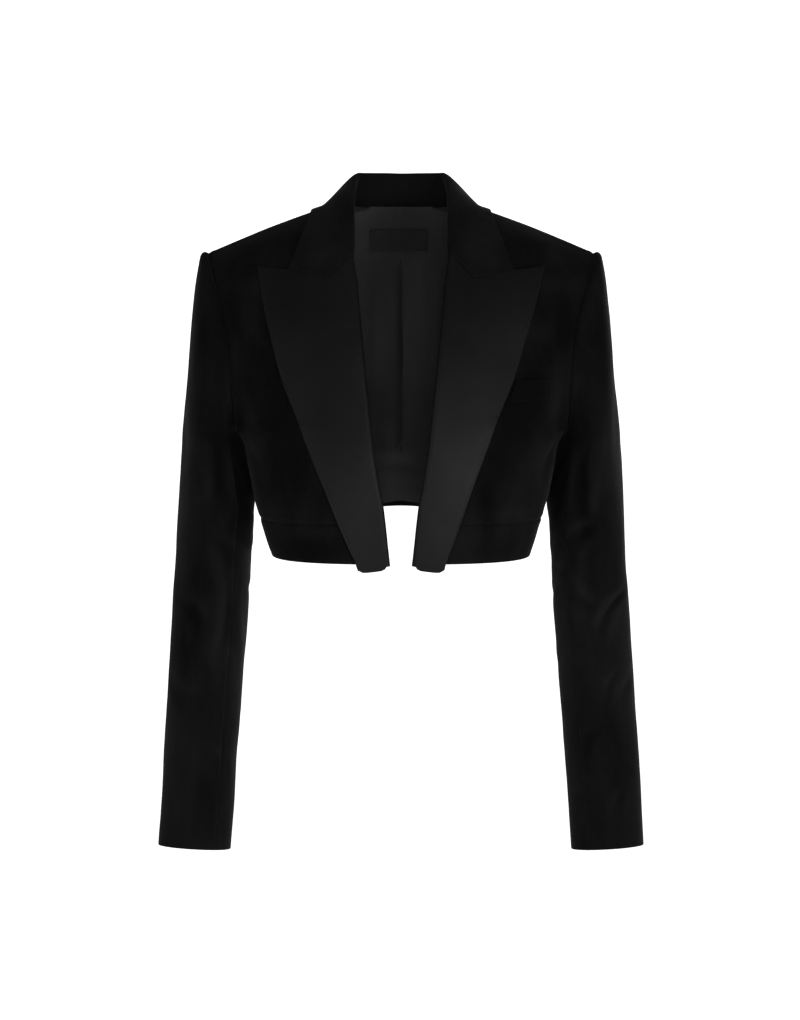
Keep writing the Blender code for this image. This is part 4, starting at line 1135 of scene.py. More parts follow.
def collar_end(surface):
    """The collar's front end along the gorge, round the front's edge."""
    place, normal = surface.softened(front_edge(GORGE_TOP.z)[0], GORGE_TOP.z)
    into = unit(np.cross(np.cross(normal, [1.0, 0.0, 0.0]), normal))
    centre = place - normal * VELVET_WALL / 2 - into * COLLAR_END_CLEAR
    turns = np.radians(np.linspace(COLLAR_END_TURN, 90.0, COLLAR_STAND + COLLAR_ARC))
    facing = np.array([into * math.cos(turn) + normal * math.sin(turn) for turn in turns])
    points = np.concatenate([centre + facing * FOLD_RADIUS,
                             gorge_points(surface, COLLAR_FALL)[1:]])
    points[:, 2] += GORGE_HALF_GAP
    return points


def collar_grid(surface):
    """Visible side of the whole collar, lines from its right end to its left end."""
    stations = np.array(COLLAR)
    places = np.linspace(0, len(stations) - 1, COLLAR_COLUMNS)
    values = smooth(np.arange(len(stations)), stations, places)
    fold, neck, edge, dip = values[:, 0:3], values[:, 3:6], values[:, 6:9], values[:, 9]
    outward, up = collar_frames(fold)
    lines = [collar_line(surface, *place) for place in zip(fold, neck, edge, dip, outward, up)]
    half = np.array(lines + [collar_end(surface)])
    return np.concatenate([half[:0:-1] * MIRRORED, half])


def ring_point(turn, z_level):
    """A point of the sleeve below the underarm, at an angle round it."""
    rows = np.array(SLEEVE)
    mid_x, mid_y, half_x, half_y, lean = smooth(-rows[:, 0], rows[:, 1:], [-z_level])[0]
    angle = math.radians(turn)
    x = half_x * math.cos(angle)
    y = -half_y * math.sin(angle)
    z = z_level + lean * (CUFF_RISE_X * x + CUFF_RISE_Y * y)
    return np.array([mid_x + x, mid_y + y, z])


def ring_middle(z):
    """The middle of the sleeve at a height below the underarm."""
    rows = np.array(SLEEVE)
    mid_x, mid_y = smooth(-rows[:, 0], rows[:, 1:3], [-z])[0]
    return np.array([mid_x, mid_y, z])


def sleeve_line(turn, head_shares, levels):
    """One line down the sleeve: head_shares of its cap, then points at the given levels."""
    top = armhole_at(turn)
    top[0] += HALF_GAP
    biceps = ring_point(turn, UNDERARM_Z)
    outward = max(math.cos(math.radians(turn)), 0.0)
    square = SLEEVE_HEAD_SQUARE - SLEEVE_SIDE_SQUARE
    square = SLEEVE_SIDE_SQUARE + square * outward ** SLEEVE_HEAD_POWER
    lean = np.array([SLEEVE_HEAD_LEAN * outward, 0.0])
    height = top[2] - biceps[2]
    spare = top[:2] - biceps[:2] - lean * height
    phi = math.pi / 2 * (1.0 - np.arange(1, DENSE) / (DENSE - 1))
    rise = height * np.sin(phi) ** (2.0 / square)
    inwards = 1.0 - np.cos(phi) ** (2.0 / square)
    flat = biceps[:2] + lean * rise[:, None] + spare * inwards[:, None]
    cap = np.column_stack([flat, biceps[2] + rise])
    rest = [ring_point(turn, z) for z in np.linspace(UNDERARM_Z, CAP_END_Z, CAP_END_ROWS)[1:]]
    cap = np.concatenate([[top], cap, rest])
    lower = [ring_point(turn, z) for z in levels]
    return np.concatenate([along(cap, head_shares), lower])


def sleeve_grid(first, last, step):
    """A sleeve panel between two turns: rows from the armhole to the cuff, and its turns."""
    wide = (last - first) * SLEEVE_MM
    turns = first + (last - first) * shares_of(wide, step)
    head = np.concatenate([np.array(EDGE_SPOTS) / CAP_LENGTH,
                           np.linspace(CAP_ROWS_FROM, 1.0, CAP_ROWS)])
    levels = CAP_END_Z + (CUFF_Z - CAP_END_Z) * np.linspace(0.0, 1.0, SLEEVE_ROWS)[1:-2]
    levels = np.append(levels, CUFF_Z + np.array(EDGE_SPOTS)[::-1])
    lines = np.array([sleeve_line(turn, head, levels) for turn in turns])
    return np.swapaxes(lines, 0, 1), turns


def inside_back(surface, x, z, depth):
    """A place that far in from the outside of the back, at x and z in the back view."""
    out = surface.softened(max(abs(x), NORMAL_REACH), z, 1.0)[1]
    place = surface.seen(x, z, 1.0)[0]
    out = out * np.array([math.copysign(1.0, x) if abs(x) > NORMAL_REACH else 0.0, 1.0, 1.0])
    return place - unit(out) * depth


# Pleat down the lining: how far across and how far off the lining each point of its fold lies.
Pleat = namedtuple("Pleat", "x rise")
PLEAT = table(Pleat, (
    (-9, 0), (-6, 0.3), (-3, 0.8), (-0.8, 1.5), (0.6, 2.1), (1.5, 2.5),
    (1.9, 2.2), (1.5, 1.5), (0.6, 0.8), (0.2, 0.3), (0.9, 0), (3, 0),
))
PLEAT_SOFT = 16.0
# The lining's top is felled level along the collar's stand.
LINING_TRUE_Z = 5.6
LINING_TRUE_DOWN = 22.0
LINING_TRUE_HALF_WIDTH = 64.0
LINING_TRUE_SOFT = 12.0


def lining_grid(surface):
    """The inside of the back lining, with its pleat, and x and z of each point in the back view."""
    top, hem = np.array(LINING_TOP), np.array(LINING_HEM)
    shares = np.linspace(0.0, 1.0, LINING_ROWS)
    spread = np.array([spot.x for spot in PLEAT])
    rises = np.array([spot.rise for spot in PLEAT])
    rows, us = [], []
    for share in shares:
        width = LINING_FOOT_HALF_WIDTH
        width += (LINING_HEAD_HALF_WIDTH - LINING_FOOT_HALF_WIDTH) * math.sin(share * math.pi / 2)
        left = np.linspace(-width, spread[0], LINING_LEFT_COLUMNS)[:-1]
        right = np.linspace(spread[-1], width, LINING_RIGHT_COLUMNS)[1:]
        x = np.concatenate([left, spread, right])
        rise = np.concatenate([left * 0.0, rises, right * 0.0])
        low = np.interp(np.abs(x), hem[:, 0], hem[:, 1])
        high = np.interp(np.abs(x), top[:, 0], top[:, 1])
        z = low + (high - low) * share
        opened = np.clip(np.minimum(PLEAT_TOP_Z - z, z - PLEAT_END_Z) / PLEAT_SOFT, 0.0, 1.0)
        depth = VELVET_WALL + LINING_CLEAR + LINING_WALL + rise * opened
        flat = np.concatenate([left, np.linspace(spread[0], spread[-1], len(spread)), right])
        at = flat + (x - flat) * opened
        rows.append([inside_back(surface, *spot) for spot in zip(at, z, depth)])
        us.append(at)
    grid = np.array(rows)
    below = border_distances(grid)["head"]
    near = soft_step(1.0 - below / LINING_TRUE_DOWN)
    near *= soft_step((LINING_TRUE_HALF_WIDTH - np.abs(grid[-1, :, 0])) / LINING_TRUE_SOFT)
    grid[..., 2] += near * (LINING_TRUE_Z - grid[-1, :, 2])
    return grid, np.array(us)


def strip_grid(surface, corners, rise, step):
    """A small piece laid on the front: its grid from four corners in the front view."""
    (top_left, top_right), (low_left, low_right) = corners
    wide = shares_of(math.dist(top_left, top_right), step)
    high = shares_of(math.dist(top_left, low_left), step)
    grid = []
    for down in 1.0 - high:
        left = np.array(top_left) + (np.array(low_left) - top_left) * down
        right = np.array(top_right) + (np.array(low_right) - top_right) * down
        line = [surface.softened(*(left + (right - left) * across)) for across in wide]
        grid.append([place + out * rise for place, out in line])
    return np.array(grid)


# A stitch is a small arched bar: its rings, their points, and how thick its ends are.
THREAD_RINGS = 5
THREAD_SIDES = 6
THREAD_THIN = 0.45
THREAD_END = 0.15


def threads(name, places, runs, outs, length, radius, arch, cloth):
    """Short stitches of thread: each a small arched bar along its run, standing on the cloth."""
    rings, sides = THREAD_RINGS, THREAD_SIDES
    points, faces = [], []
    for place, run, out in zip(places, runs, outs):
        across = unit(np.cross(run, out))
        first = len(points)
        for i in range(rings):
            t = i / (rings - 1)
            middle = place + run * (t - 0.5) * length + out * arch * math.sin(math.pi * t)
            swell = math.sin(math.pi * (THREAD_END + (1.0 - 2.0 * THREAD_END) * t))
            thick = radius * (THREAD_THIN + (1.0 - THREAD_THIN) * swell)
            for k in range(sides):
                angle = 2 * math.pi * k / sides
                points.append(middle + (across * math.cos(angle) + out * math.sin(angle)) * thick)
        for i in range(rings - 1):
            for k in range(sides):
                a, b = first + i * sides + k, first + i * sides + (k + 1) % sides
                faces.append((a, b, b + sides, a + sides))
        faces.append(tuple(first + k for k in range(sides))[::-1])
        faces.append(tuple(first + (rings - 1) * sides + k for k in range(sides)))
    return make_mesh(name, points, faces, [cloth])


class Graph:
    """A short way to build a node tree: add nodes and link them by socket name."""

    def __init__(self, tree):
        self.tree = tree
        self.made = 0

    def add(self, kind, values=None, **settings):
        made = self.tree.nodes.new(kind)
        made.location = (self.made * 190, 0)
        self.made += 1
        for key, value in settings.items():
            setattr(made, key, value)
        for key, value in (values or {}).items():
            made.inputs[key].default_value = value
        return made

    def link(self, source, out, target, into):
        self.tree.links.new(source.outputs[out], target.inputs[into])


def group_tree(name, inputs, outputs):
    """An empty shader group with its sockets: name, kind and default of each."""
    tree = bpy.data.node_groups.new(name, "ShaderNodeTree")
    for label, kind, value in inputs:
        socket = tree.interface.new_socket(label, in_out="INPUT", socket_type=kind)
        socket.default_value = value
    for label, kind in outputs:
        tree.interface.new_socket(label, in_out="OUTPUT", socket_type=kind)
    return tree


# How much of a cloth's tone its patches have, against its flecks, how far the patches are drawn
# out upwards, and the values of the noise that give the darkest and the lightest tone.
PATCH_SHARE = 0.65
DRAWN_OUT = (1.0, 1.0, 0.38)
NOISE_DARKEST = 0.3
NOISE_LIGHTEST = 0.76


def uneven_tone_group():
    """Two tones of a cloth, mixed by soft drifting noise for lighter and darker pile and by each
    piece's tone attribute, which holds painted highlight and painted shade.
    """
    tree = group_tree(
        "uneven_tone",
        [("Dark", "NodeSocketColor", (0.01, 0.01, 0.01, 1.0)),
         ("Light", "NodeSocketColor", (0.03, 0.03, 0.03, 1.0)),
         ("Patch Size", "NodeSocketFloat", 12.0),
         ("Fleck Size", "NodeSocketFloat", 900.0),
         ("Rough Low", "NodeSocketFloat", 0.4),
         ("Rough High", "NodeSocketFloat", 0.5)],
        [("Colour", "NodeSocketColor"), ("Roughness", "NodeSocketFloat")])
    g = Graph(tree)
    given = g.add("NodeGroupInput")
    place = g.add("ShaderNodeTexCoord")
    patch = g.add("ShaderNodeTexNoise", {"Detail": 3.0, "Roughness": 0.55})
    fleck = g.add("ShaderNodeTexNoise", {"Detail": 2.0, "Roughness": 0.6})
    spread = g.add("ShaderNodeMapRange", {"From Min": NOISE_DARKEST, "From Max": NOISE_LIGHTEST})
    fleck_part = g.add("ShaderNodeMath", {1: 1.0 - PATCH_SHARE}, operation="MULTIPLY")
    patch_part = g.add("ShaderNodeMath", {1: PATCH_SHARE}, operation="MULTIPLY")
    both = g.add("ShaderNodeMath", operation="ADD")
    # Painted highlight and painted shade of each piece, added to the noise.
    painted_light_tone = g.add("ShaderNodeAttribute", attribute_name="tone")
    whole = g.add("ShaderNodeMath", operation="ADD", use_clamp=True)
    tone = g.add("ShaderNodeMix", data_type="RGBA")
    rough = g.add("ShaderNodeMapRange")
    out = g.add("NodeGroupOutput")
    drawn_out = g.add("ShaderNodeVectorMath", {1: DRAWN_OUT}, operation="MULTIPLY")
    g.link(place, "Object", drawn_out, 0)
    g.link(drawn_out, "Vector", patch, "Vector")
    g.link(place, "Object", fleck, "Vector")
    g.link(given, "Patch Size", patch, "Scale")
    g.link(given, "Fleck Size", fleck, "Scale")
    g.link(patch, "Fac", spread, "Value")
    g.link(spread, "Result", patch_part, 0)
    g.link(fleck, "Fac", fleck_part, 0)
    g.link(patch_part, 0, both, 0)
    g.link(fleck_part, 0, both, 1)
    g.link(both, 0, whole, 0)
    g.link(painted_light_tone, "Fac", whole, 1)
    g.link(whole, 0, tone, "Factor")
    g.link(given, "Dark", tone, "A")
    g.link(given, "Light", tone, "B")
    g.link(whole, 0, rough, "Value")
    g.link(given, "Rough Low", rough, "To Min")
    g.link(given, "Rough High", rough, "To Max")
    g.link(tone, "Result", out, "Colour")
    g.link(rough, "Result", out, "Roughness")
    return tree


def thread_relief_group():
    """Height of a cloth's threads: long grains along and across, and the slubs between them."""
    tree = group_tree(
        "thread_relief",
        [("Across", "NodeSocketFloat", 2400.0),
         ("Along", "NodeSocketFloat", 300.0),
         ("Soft Size", "NodeSocketFloat", 60.0),
         ("Soft Share", "NodeSocketFloat", 0.3)],
        [("Height", "NodeSocketFloat")])
    g = Graph(tree)
    given = g.add("NodeGroupInput")
    place = g.add("ShaderNodeTexCoord")
    scale = g.add("ShaderNodeCombineXYZ")
    stretched = g.add("ShaderNodeVectorMath", operation="MULTIPLY")
    grain = g.add("ShaderNodeTexNoise", {"Scale": 1.0, "Detail": 2.0, "Roughness": 0.5})
    soft = g.add("ShaderNodeTexNoise", {"Detail": 2.0, "Roughness": 0.5})
    both = g.add("ShaderNodeMix")
    out = g.add("NodeGroupOutput")
    g.link(given, "Across", scale, "X")
    g.link(given, "Across", scale, "Y")
    g.link(given, "Along", scale, "Z")
    g.link(place, "Object", stretched, 0)
    g.link(scale, "Vector", stretched, 1)
    g.link(stretched, "Vector", grain, "Vector")
    g.link(place, "Object", soft, "Vector")
    g.link(given, "Soft Size", soft, "Scale")
    g.link(given, "Soft Share", both, "Factor")
    g.link(grain, "Fac", both, "A")
    g.link(soft, "Fac", both, "B")
    g.link(both, "Result", out, "Height")
    return tree


# Finishes. tone and relief are the values of the two groups' sockets, bump is how deep the relief
# is in metres, and shader has the values of the shader's own sockets.
TONE_SOCKETS = ("Patch Size", "Fleck Size", "Rough Low", "Rough High")
RELIEF_SOCKETS = ("Across", "Along", "Soft Size", "Soft Share")
Finish = namedtuple("Finish", "tone relief bump shader")
FINISHES = {
    "black_velvet": Finish(
        (26, 1300, 0.98, 0.82), (1500, 1100, 120, 0.5), 0.00035,
        {"Specular IOR Level": 0.02, "Sheen Weight": 0.04, "Sheen Roughness": 0.36,
         "Sheen Tint": (0.92, 0.92, 0.92, 1.0)}),
    "black_satin": Finish(
        (14, 700, 0.56, 0.48), (2600, 260, 45, 0.55), 0.00012, {"Specular IOR Level": 0.105}),
    "black_lining": Finish(
        (14, 800, 0.46, 0.56), (2200, 420, 70, 0.4), 0.00012, {"Specular IOR Level": 0.145}),
    "black_tape": Finish(
        (30, 1600, 0.5, 0.62), (900, 2400, 90, 0.2), 0.00018,
        {"Specular IOR Level": 0.13, "Sheen Weight": 0.02}),
    "black_thread": Finish(
        (60, 2400, 0.34, 0.44), (3000, 3000, 500, 0.3), 0.00008, {"Specular IOR Level": 0.16}),
}


def make_cloth(name, dark, light):
    """The material of one of the jacket's cloths."""
    finish = FINISHES[name]
    cloth = bpy.data.materials.new(name)
    cloth.use_nodes = True
    g = Graph(cloth.node_tree)
    shader = cloth.node_tree.nodes["Principled BSDF"]
    for key, value in finish.shader.items():
        shader.inputs[key].default_value = value
    tone = g.add("ShaderNodeGroup", node_tree=bpy.data.node_groups["uneven_tone"])
    relief = g.add("ShaderNodeGroup", node_tree=bpy.data.node_groups["thread_relief"])
    for made, keys, values in ((tone, TONE_SOCKETS, finish.tone),
                               (relief, RELIEF_SOCKETS, finish.relief)):
        for key, value in zip(keys, values):
            made.inputs[key].default_value = value
    tone.inputs["Dark"].default_value = (*dark, 1.0)
    tone.inputs["Light"].default_value = (*light, 1.0)
    bump = g.add("ShaderNodeBump", {"Strength": 1.0, "Distance": finish.bump})
    g.link(tone, "Colour", shader, "Base Color")
    g.link(tone, "Roughness", shader, "Roughness")
    g.link(relief, "Height", bump, "Height")
    g.link(bump, "Normal", shader, "Normal")
    return cloth


def cloths_named(*names):
    """The materials that a piece uses."""
    return [bpy.data.materials[name] for name in names]


# What each piece is cut to before it is sewn: width and length of the rectangle that it is cut
# from in metres, the area of the cut, how it is held and what it hangs from.
Cut = namedtuple("Cut", "wide long area held rests_on")


def cloth_piece(name, slot, grid, facing, wall, edges, cloths, side="", **looks):
    """A piece of cloth in place of its solid."""
    piece = shell(f"{name}{side}_cloth", grid, facing, wall, edges, cloths, **looks)
    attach(piece, BODY)
    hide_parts(name + side)


def panel_pair(name, form, grid, facing, edges, cloths, across, weight, under, proud=0.0):
    """Left and right of a velvet panel, each with the creases, patches and waves of its form."""
    for side, mirror in SIDES:
        height = creased(across, grid[..., 2], CREASES[form, side])
        # Painted highlight on crease ridges, painted shade in troughs, and the piece's painted
        # patches.
        tone = painted_light_and_nap(across, grid[..., 2], PAINTED_LIGHT_AND_NAP_PATCHES[form, side], height)
        height = (height + waved(grid, form, mirror)) * weight + proud
        cloth_piece(name, "velvet", grid, facing, VELVET_WALL, edges, cloths, f"_{side}",
                    creases=height, under=under, mirror=mirror, tone=tone)


def add_thread(piece):
    """Stitches that show on a piece: they ride with the jacket and are no sheet themselves."""
    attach(piece, BODY)


# Widths in millimetres of the inside cloths: the velvet facing beside the front edge and the
# velvet turned up inside the hem and the cuffs.
FACING_WIDE = 62.0
HEM_TURNED_UP = 24.0
CUFF_TURNED_UP = 30.0
SIDES = (("left", False), ("right", True))
# How far from its edges a piece's creases and waves die away. At the cuff a share of them is left.
PANEL_FADE = 9.0
SLEEVE_SEAM_FADE = 7.0
SLEEVE_HEAD_FADE = 12.0
CUFF_FADE = 30.0
CUFF_SHARE = 0.4
COLLAR_FADE = 10.0
SATIN_FADE = 8.0
LAPEL_ROLL_PLAIN = 14.0
LAPEL_ROLL_FADE = 10.0
LINING_LOWEST = -0.9
LINING_HIGHEST = 1.6
WELT_SINK = 0.3
WELT_SINK_AT = 2.2
WELT_SINK_WIDE = 1.2
# The kinds of a piece's borders.
SEWN = {"head": "seam", "foot": "seam", "end": "seam", "start": "seam"}
FOLDED = {"head": "fold", "foot": "fold", "start": "fold", "end": "fold"}


def front_panels(cloths, step):
    """Both fronts and their bands, with a facing of velvet inside."""
    rows = front_rows()
    for name, first, last in (("front", WAIST_ROW, len(rows) - 1),
                              ("front_band", HEM_ROW, WAIST_ROW)):
        grid, at = panel_grid(rows, first, last, step)
        facing = normals(grid)
        distance = border_distances(grid)
        turns = np.array([between_rows(rows, place)[5] for place in at])
        arm = at > len(FRONT_SIDE) - 0.5
        side_facing = flatten(facing[:, -1], 1)
        if name == "front":
            side_facing[arm] = armhole_facing(turns[arm], -1.0)
            facing = level_at(facing, distance, "head", 1)
            facing = level_at(facing, distance, "foot", 2)
        else:
            facing = level_at(facing, distance, "head", 2)
        facing = turn_to(facing, distance["end"], side_facing, 1)
        grid[~arm, -1, 1] = -HALF_GAP
        grid[arm, -1, 0] -= HALF_GAP
        if name == "front":
            grid[-1, :, 1] -= HALF_GAP
            grid[0, :, 2] += HALF_GAP
            edges = {**SEWN, "start": "fold"}
            under = distance["start"] > FACING_WIDE
        else:
            grid[-1, :, 2] -= HALF_GAP
            edges = {**SEWN, "foot": "fold", "start": "fold"}
            under = (distance["start"] > FACING_WIDE) & (distance["foot"] > HEM_TURNED_UP)
        weight = fade(distance, ("end", "head", "foot"), PANEL_FADE)
        panel_pair(name, "front", grid, facing, edges, cloths, grid[..., 0], weight, under)


def back_panels(cloths, step):
    """Both backs and the one band below them."""
    rows = back_rows()
    neck_row = next(i for i, row in enumerate(rows) if row[0][0] > 0) - 1
    grid, at = panel_grid(rows, BACK_WAIST_ROW, len(rows) - 1, step)
    facing = -normals(grid)
    distance = border_distances(grid)
    turns = np.array([between_rows(rows, place)[5] for place in at])
    arm = at > len(BACK_SIDE) - 0.5
    side_facing = flatten(facing[:, -1], 1)
    side_facing[arm] = armhole_facing(turns[arm], -1.0)
    middle = at <= neck_row
    facing = level_at(facing, distance, "head", 1)
    facing = level_at(facing, distance, "foot", 2)
    facing = turn_to(facing, distance["end"], side_facing, 1)
    facing[middle] = turn_to(facing[middle], distance["start"][middle],
                             flatten(facing[middle, 0], 0), 1)
    grid[~arm, -1, 1] = HALF_GAP
    grid[arm, -1, 0] -= HALF_GAP
    grid[-1, :, 1] += HALF_GAP
    grid[0, :, 2] += HALF_GAP
    grid[middle, 0, 0] = HALF_GAP
    weight = fade(distance, ("end", "head", "foot", "start"), PANEL_FADE)
    panel_pair("back", "back", grid, facing, SEWN, cloths, grid[..., 0], weight,
               distance["head"] > 0.0)
    half, _ = panel_grid(rows, 0, BACK_WAIST_ROW, step)
    grid = np.concatenate([half[:, :0:-1] * MIRRORED, half], axis=1)
    facing = -normals(grid)
    distance = border_distances(grid)
    grid[:, 0, 1] = HALF_GAP
    grid[:, -1, 1] = HALF_GAP
    grid[-1, :, 2] -= HALF_GAP
    facing = level_at(facing, distance, "head", 2)
    facing = level_at(facing, distance, "start", 1)
    facing = level_at(facing, distance, "end", 1)
    height = waved(grid, "back_band")
    height *= fade(distance, ("head", "end"), PANEL_FADE) * fade(distance, ("start",), PANEL_FADE)
    cloth_piece("back_band", "velvet", grid, facing, VELVET_WALL, {**SEWN, "foot": "fold"},
                cloths, creases=height, under=distance["foot"] > HEM_TURNED_UP)


# Below the underarm the sleeve lies nearer to the body's side, round one turn and between two
# heights, but not at its seam.
SIDE_PRESS = 2.3
SIDE_PRESS_TURN = 178.0
SIDE_PRESS_WIDE = 24.0
SIDE_PRESS_TOP = -217.0
SIDE_PRESS_END = -292.0
SIDE_PRESS_SOFT = 9.0
SIDE_PRESS_SEAM = 5.0

# The sleeve's head stands a little proud of its seam, most at the shoulder.
ROPE_RISE = 1.0
ROPE_AT = 6.5
ROPE_WIDE = 5.5
ROPE_FROM = 0.25
ROPE_SOFT = 1.1
# Places in a grid whose outside is known: it faces away from the sleeve's middle, to the back on
# the collar's fall, and to the front on the lapels, the welt, the lining and the label.
OUTSIDE_ROW = -30
FALL_COLUMN = -4
LAPEL_COLUMN = -6
LINING_COLUMN = 6
FORWARDS = (0.0, -1.0, 0.0)
BACKWARDS = (0.0, 1.0, 0.0)


def sleeve_panels(cloths, step):
    """Top and under sleeve of both arms, creased at the elbow."""
    for name, first, last in (("top_sleeve", BACK_SEAM_TURN - 360, FRONT_SEAM_TURN),
                              ("under_sleeve", FRONT_SEAM_TURN, BACK_SEAM_TURN)):
        grid, turns = sleeve_grid(first, last, step)
        at = (OUTSIDE_ROW, len(turns) // 2)
        facing = outward_normals(grid, at, grid[at] - ring_middle(grid[at][2]))
        distance = border_distances(grid)
        facing = turn_to(facing, distance["foot"], armhole_facing(turns, 1.0), 0)
        facing = level_at(facing, distance, "head", 2)
        run = unit(np.gradient(grid, axis=1))
        grid[:, 0] += run[:, 0] * HALF_GAP
        grid[:, -1] -= run[:, -1] * HALF_GAP
        proud = ROPE_RISE * np.exp(-((distance["foot"] - ROPE_AT) / ROPE_WIDE) ** 2)
        proud *= soft_step((np.cos(np.radians(turns)) + ROPE_FROM) / ROPE_SOFT)
        level = np.minimum(SIDE_PRESS_TOP - grid[..., 2], grid[..., 2] - SIDE_PRESS_END)
        pressed = SIDE_PRESS * soft_step(level / SIDE_PRESS_SOFT)
        pressed *= np.exp(-((turns - SIDE_PRESS_TURN) / SIDE_PRESS_WIDE) ** 2)
        pressed *= fade(distance, ("foot",), SIDE_PRESS_SEAM)
        across = np.broadcast_to(turns * SLEEVE_MM, grid.shape[:2])
        weight = np.minimum(fade(distance, ("start", "end"), SLEEVE_SEAM_FADE),
                            fade(distance, ("foot",), SLEEVE_HEAD_FADE))
        weight *= CUFF_SHARE + (1.0 - CUFF_SHARE) * fade(distance, ("head",), CUFF_FADE)
        panel_pair(name, name, grid, facing, {**SEWN, "head": "fold"}, cloths, across, weight,
                   distance["head"] > CUFF_TURNED_UP, proud + pressed)


def collar_piece(cloths, surface, step):
    """The whole collar, from one end of the gorge to the other."""
    grid = finer(collar_grid(surface), step)
    facing = outward_normals(grid, (len(grid) // 2, FALL_COLUMN), BACKWARDS)
    distance = border_distances(grid)
    height = waved(grid, "collar") * fade(distance, ("head", "foot", "start"), COLLAR_FADE)
    # The collar is painted lighter at its front ends and along the top of the back.
    tone = painted_light_and_nap(np.abs(grid[..., 0]), grid[..., 2], COLLAR_PATCHES)
    cloth_piece("collar", "velvet", grid, facing, COLLAR_WALL, FOLDED, cloths,
                creases=height, tone=tone)


# Pick stitches along the lapel's outer edge.
PICK_IN = 2.4
PICK_APART = 6.2
PICK_LONG = 2.1
PICK_RADIUS = 0.24
PICK_ARCH = 0.35
PICK_END_ROWS = 4
PICK_SINK = 0.45
PICK_SINK_WIDE = 0.9
PICK_SINK_LEAST = 0.35


def lapel_pieces(cloths, thread, surface, step):
    """Both satin lapels and the pick stitches along their outer edges."""
    for side, mirror, turned in (("left", False, 1.0), ("right", True, -1.0)):
        grid = finer(lapel_grid(surface, turned), step)
        facing = outward_normals(grid, (len(grid) // 2, LAPEL_COLUMN), FORWARDS)
        distance = border_distances(grid)
        height = creased(grid[..., 0], grid[..., 2], LAPEL_CREASES)
        height += waved(grid, "lapel", mirror)
        height *= soft_step((distance["start"] - LAPEL_ROLL_PLAIN) / LAPEL_ROLL_FADE)
        height *= fade(distance, ("head",), SATIN_FADE)
        pressed = PICK_SINK * np.exp(-((distance["end"] - PICK_IN) / PICK_SINK_WIDE) ** 2)
        run = distance["foot"]
        between = np.cos(math.pi * run / PICK_APART) ** 2
        pressed *= PICK_SINK_LEAST + (1.0 - PICK_SINK_LEAST) * between
        height -= pressed
        # Painted highlight of the satin low on the lapel and painted shade above it.
        tone = painted_light_and_nap(grid[..., 0], grid[..., 2], PAINTED_LIGHT_AND_NAP_PATCHES["lapel", side])
        cloth_piece(f"lapel_{side}", "satin", grid, facing, LAPEL_WALL, FOLDED, cloths,
                    creases=height, mirror=mirror, tone=tone)
        places, runs, outs = [], [], []
        skin = grid + facing * height[..., None]
        for k in range(1, int(run[-1, -1] / PICK_APART)):
            i = int(np.searchsorted(run[:, -1], k * PICK_APART))
            if not PICK_END_ROWS <= i < len(run) - PICK_END_ROWS:
                continue
            j = int(np.argmin(np.abs(distance["end"][i] - PICK_IN)))
            places.append(skin[i, j])
            runs.append(unit(skin[i + 1, j] - skin[i - 1, j]))
            outs.append(facing[i, j])
        flip = MIRRORED if mirror else np.ones(3)
        stitches = threads(f"lapel_{side}_pick_stitches", np.array(places) * flip,
                           np.array(runs) * flip, np.array(outs) * flip, PICK_LONG,
                           PICK_RADIUS, PICK_ARCH, thread)
        add_thread(stitches)


def welt_piece(cloths, surface, step):
    """The chest welt, stitched along its foot."""
    grid = strip_grid(surface, (WELT_TOP, WELT_BOTTOM), WELT_RISE, step)
    facing = outward_normals(grid, (len(grid) // 2, len(grid[0]) // 2), FORWARDS)
    distance = border_distances(grid)
    height = waved(grid, "welt")
    height -= WELT_SINK * np.exp(-((distance["foot"] - WELT_SINK_AT) / WELT_SINK_WIDE) ** 2)
    # The welt takes the front's painted shade and highlight at its place.
    tone = painted_light_and_nap(grid[..., 0], grid[..., 2], FRONT_LEFT_PATCHES)
    cloth_piece("chest_welt", "velvet", grid, facing, WELT_WALL, FOLDED, cloths,
                creases=height, tone=tone)


def lining_piece(cloths, surface):
    """The lining of the back, with its pleat and creases."""
    grid, across = lining_grid(surface)
    facing = outward_normals(grid, (len(grid) // 2, LINING_COLUMN), FORWARDS)
    distance = border_distances(grid)
    height = creased(across, grid[..., 2], LINING_CREASES)
    height += waved(grid, "lining")
    height *= fade(distance, ("head", "foot"), SATIN_FADE)
    height = np.clip(height, LINING_LOWEST, LINING_HIGHEST)
    # Painted light and shade on the lining's creases and beside its pleat.
    tone = painted_light_and_nap(across, grid[..., 2], LINING_PATCHES, height)
    cloth_piece("back_lining", "lining", grid, facing, LINING_WALL, FOLDED, cloths,
                creases=height, tone=tone)


# A tack at each corner of the label: three stitches of thread, one above another. The label's top
# and foot are turned under, so they stand a little higher.
TACK_LONG = 2.6
TACK_RADIUS = 0.22
TACK_ARCH = 0.2
TACK_LIFT = 0.1
TACK_STITCHES = (-0.5, 0.0, 0.5)
TACK_IN = 1.5
TACK_SINK = 0.3
LABEL_CLEAR = 0.6
LABEL_HEM_RISE = 0.18
LABEL_HEM_WIDE = 1.6


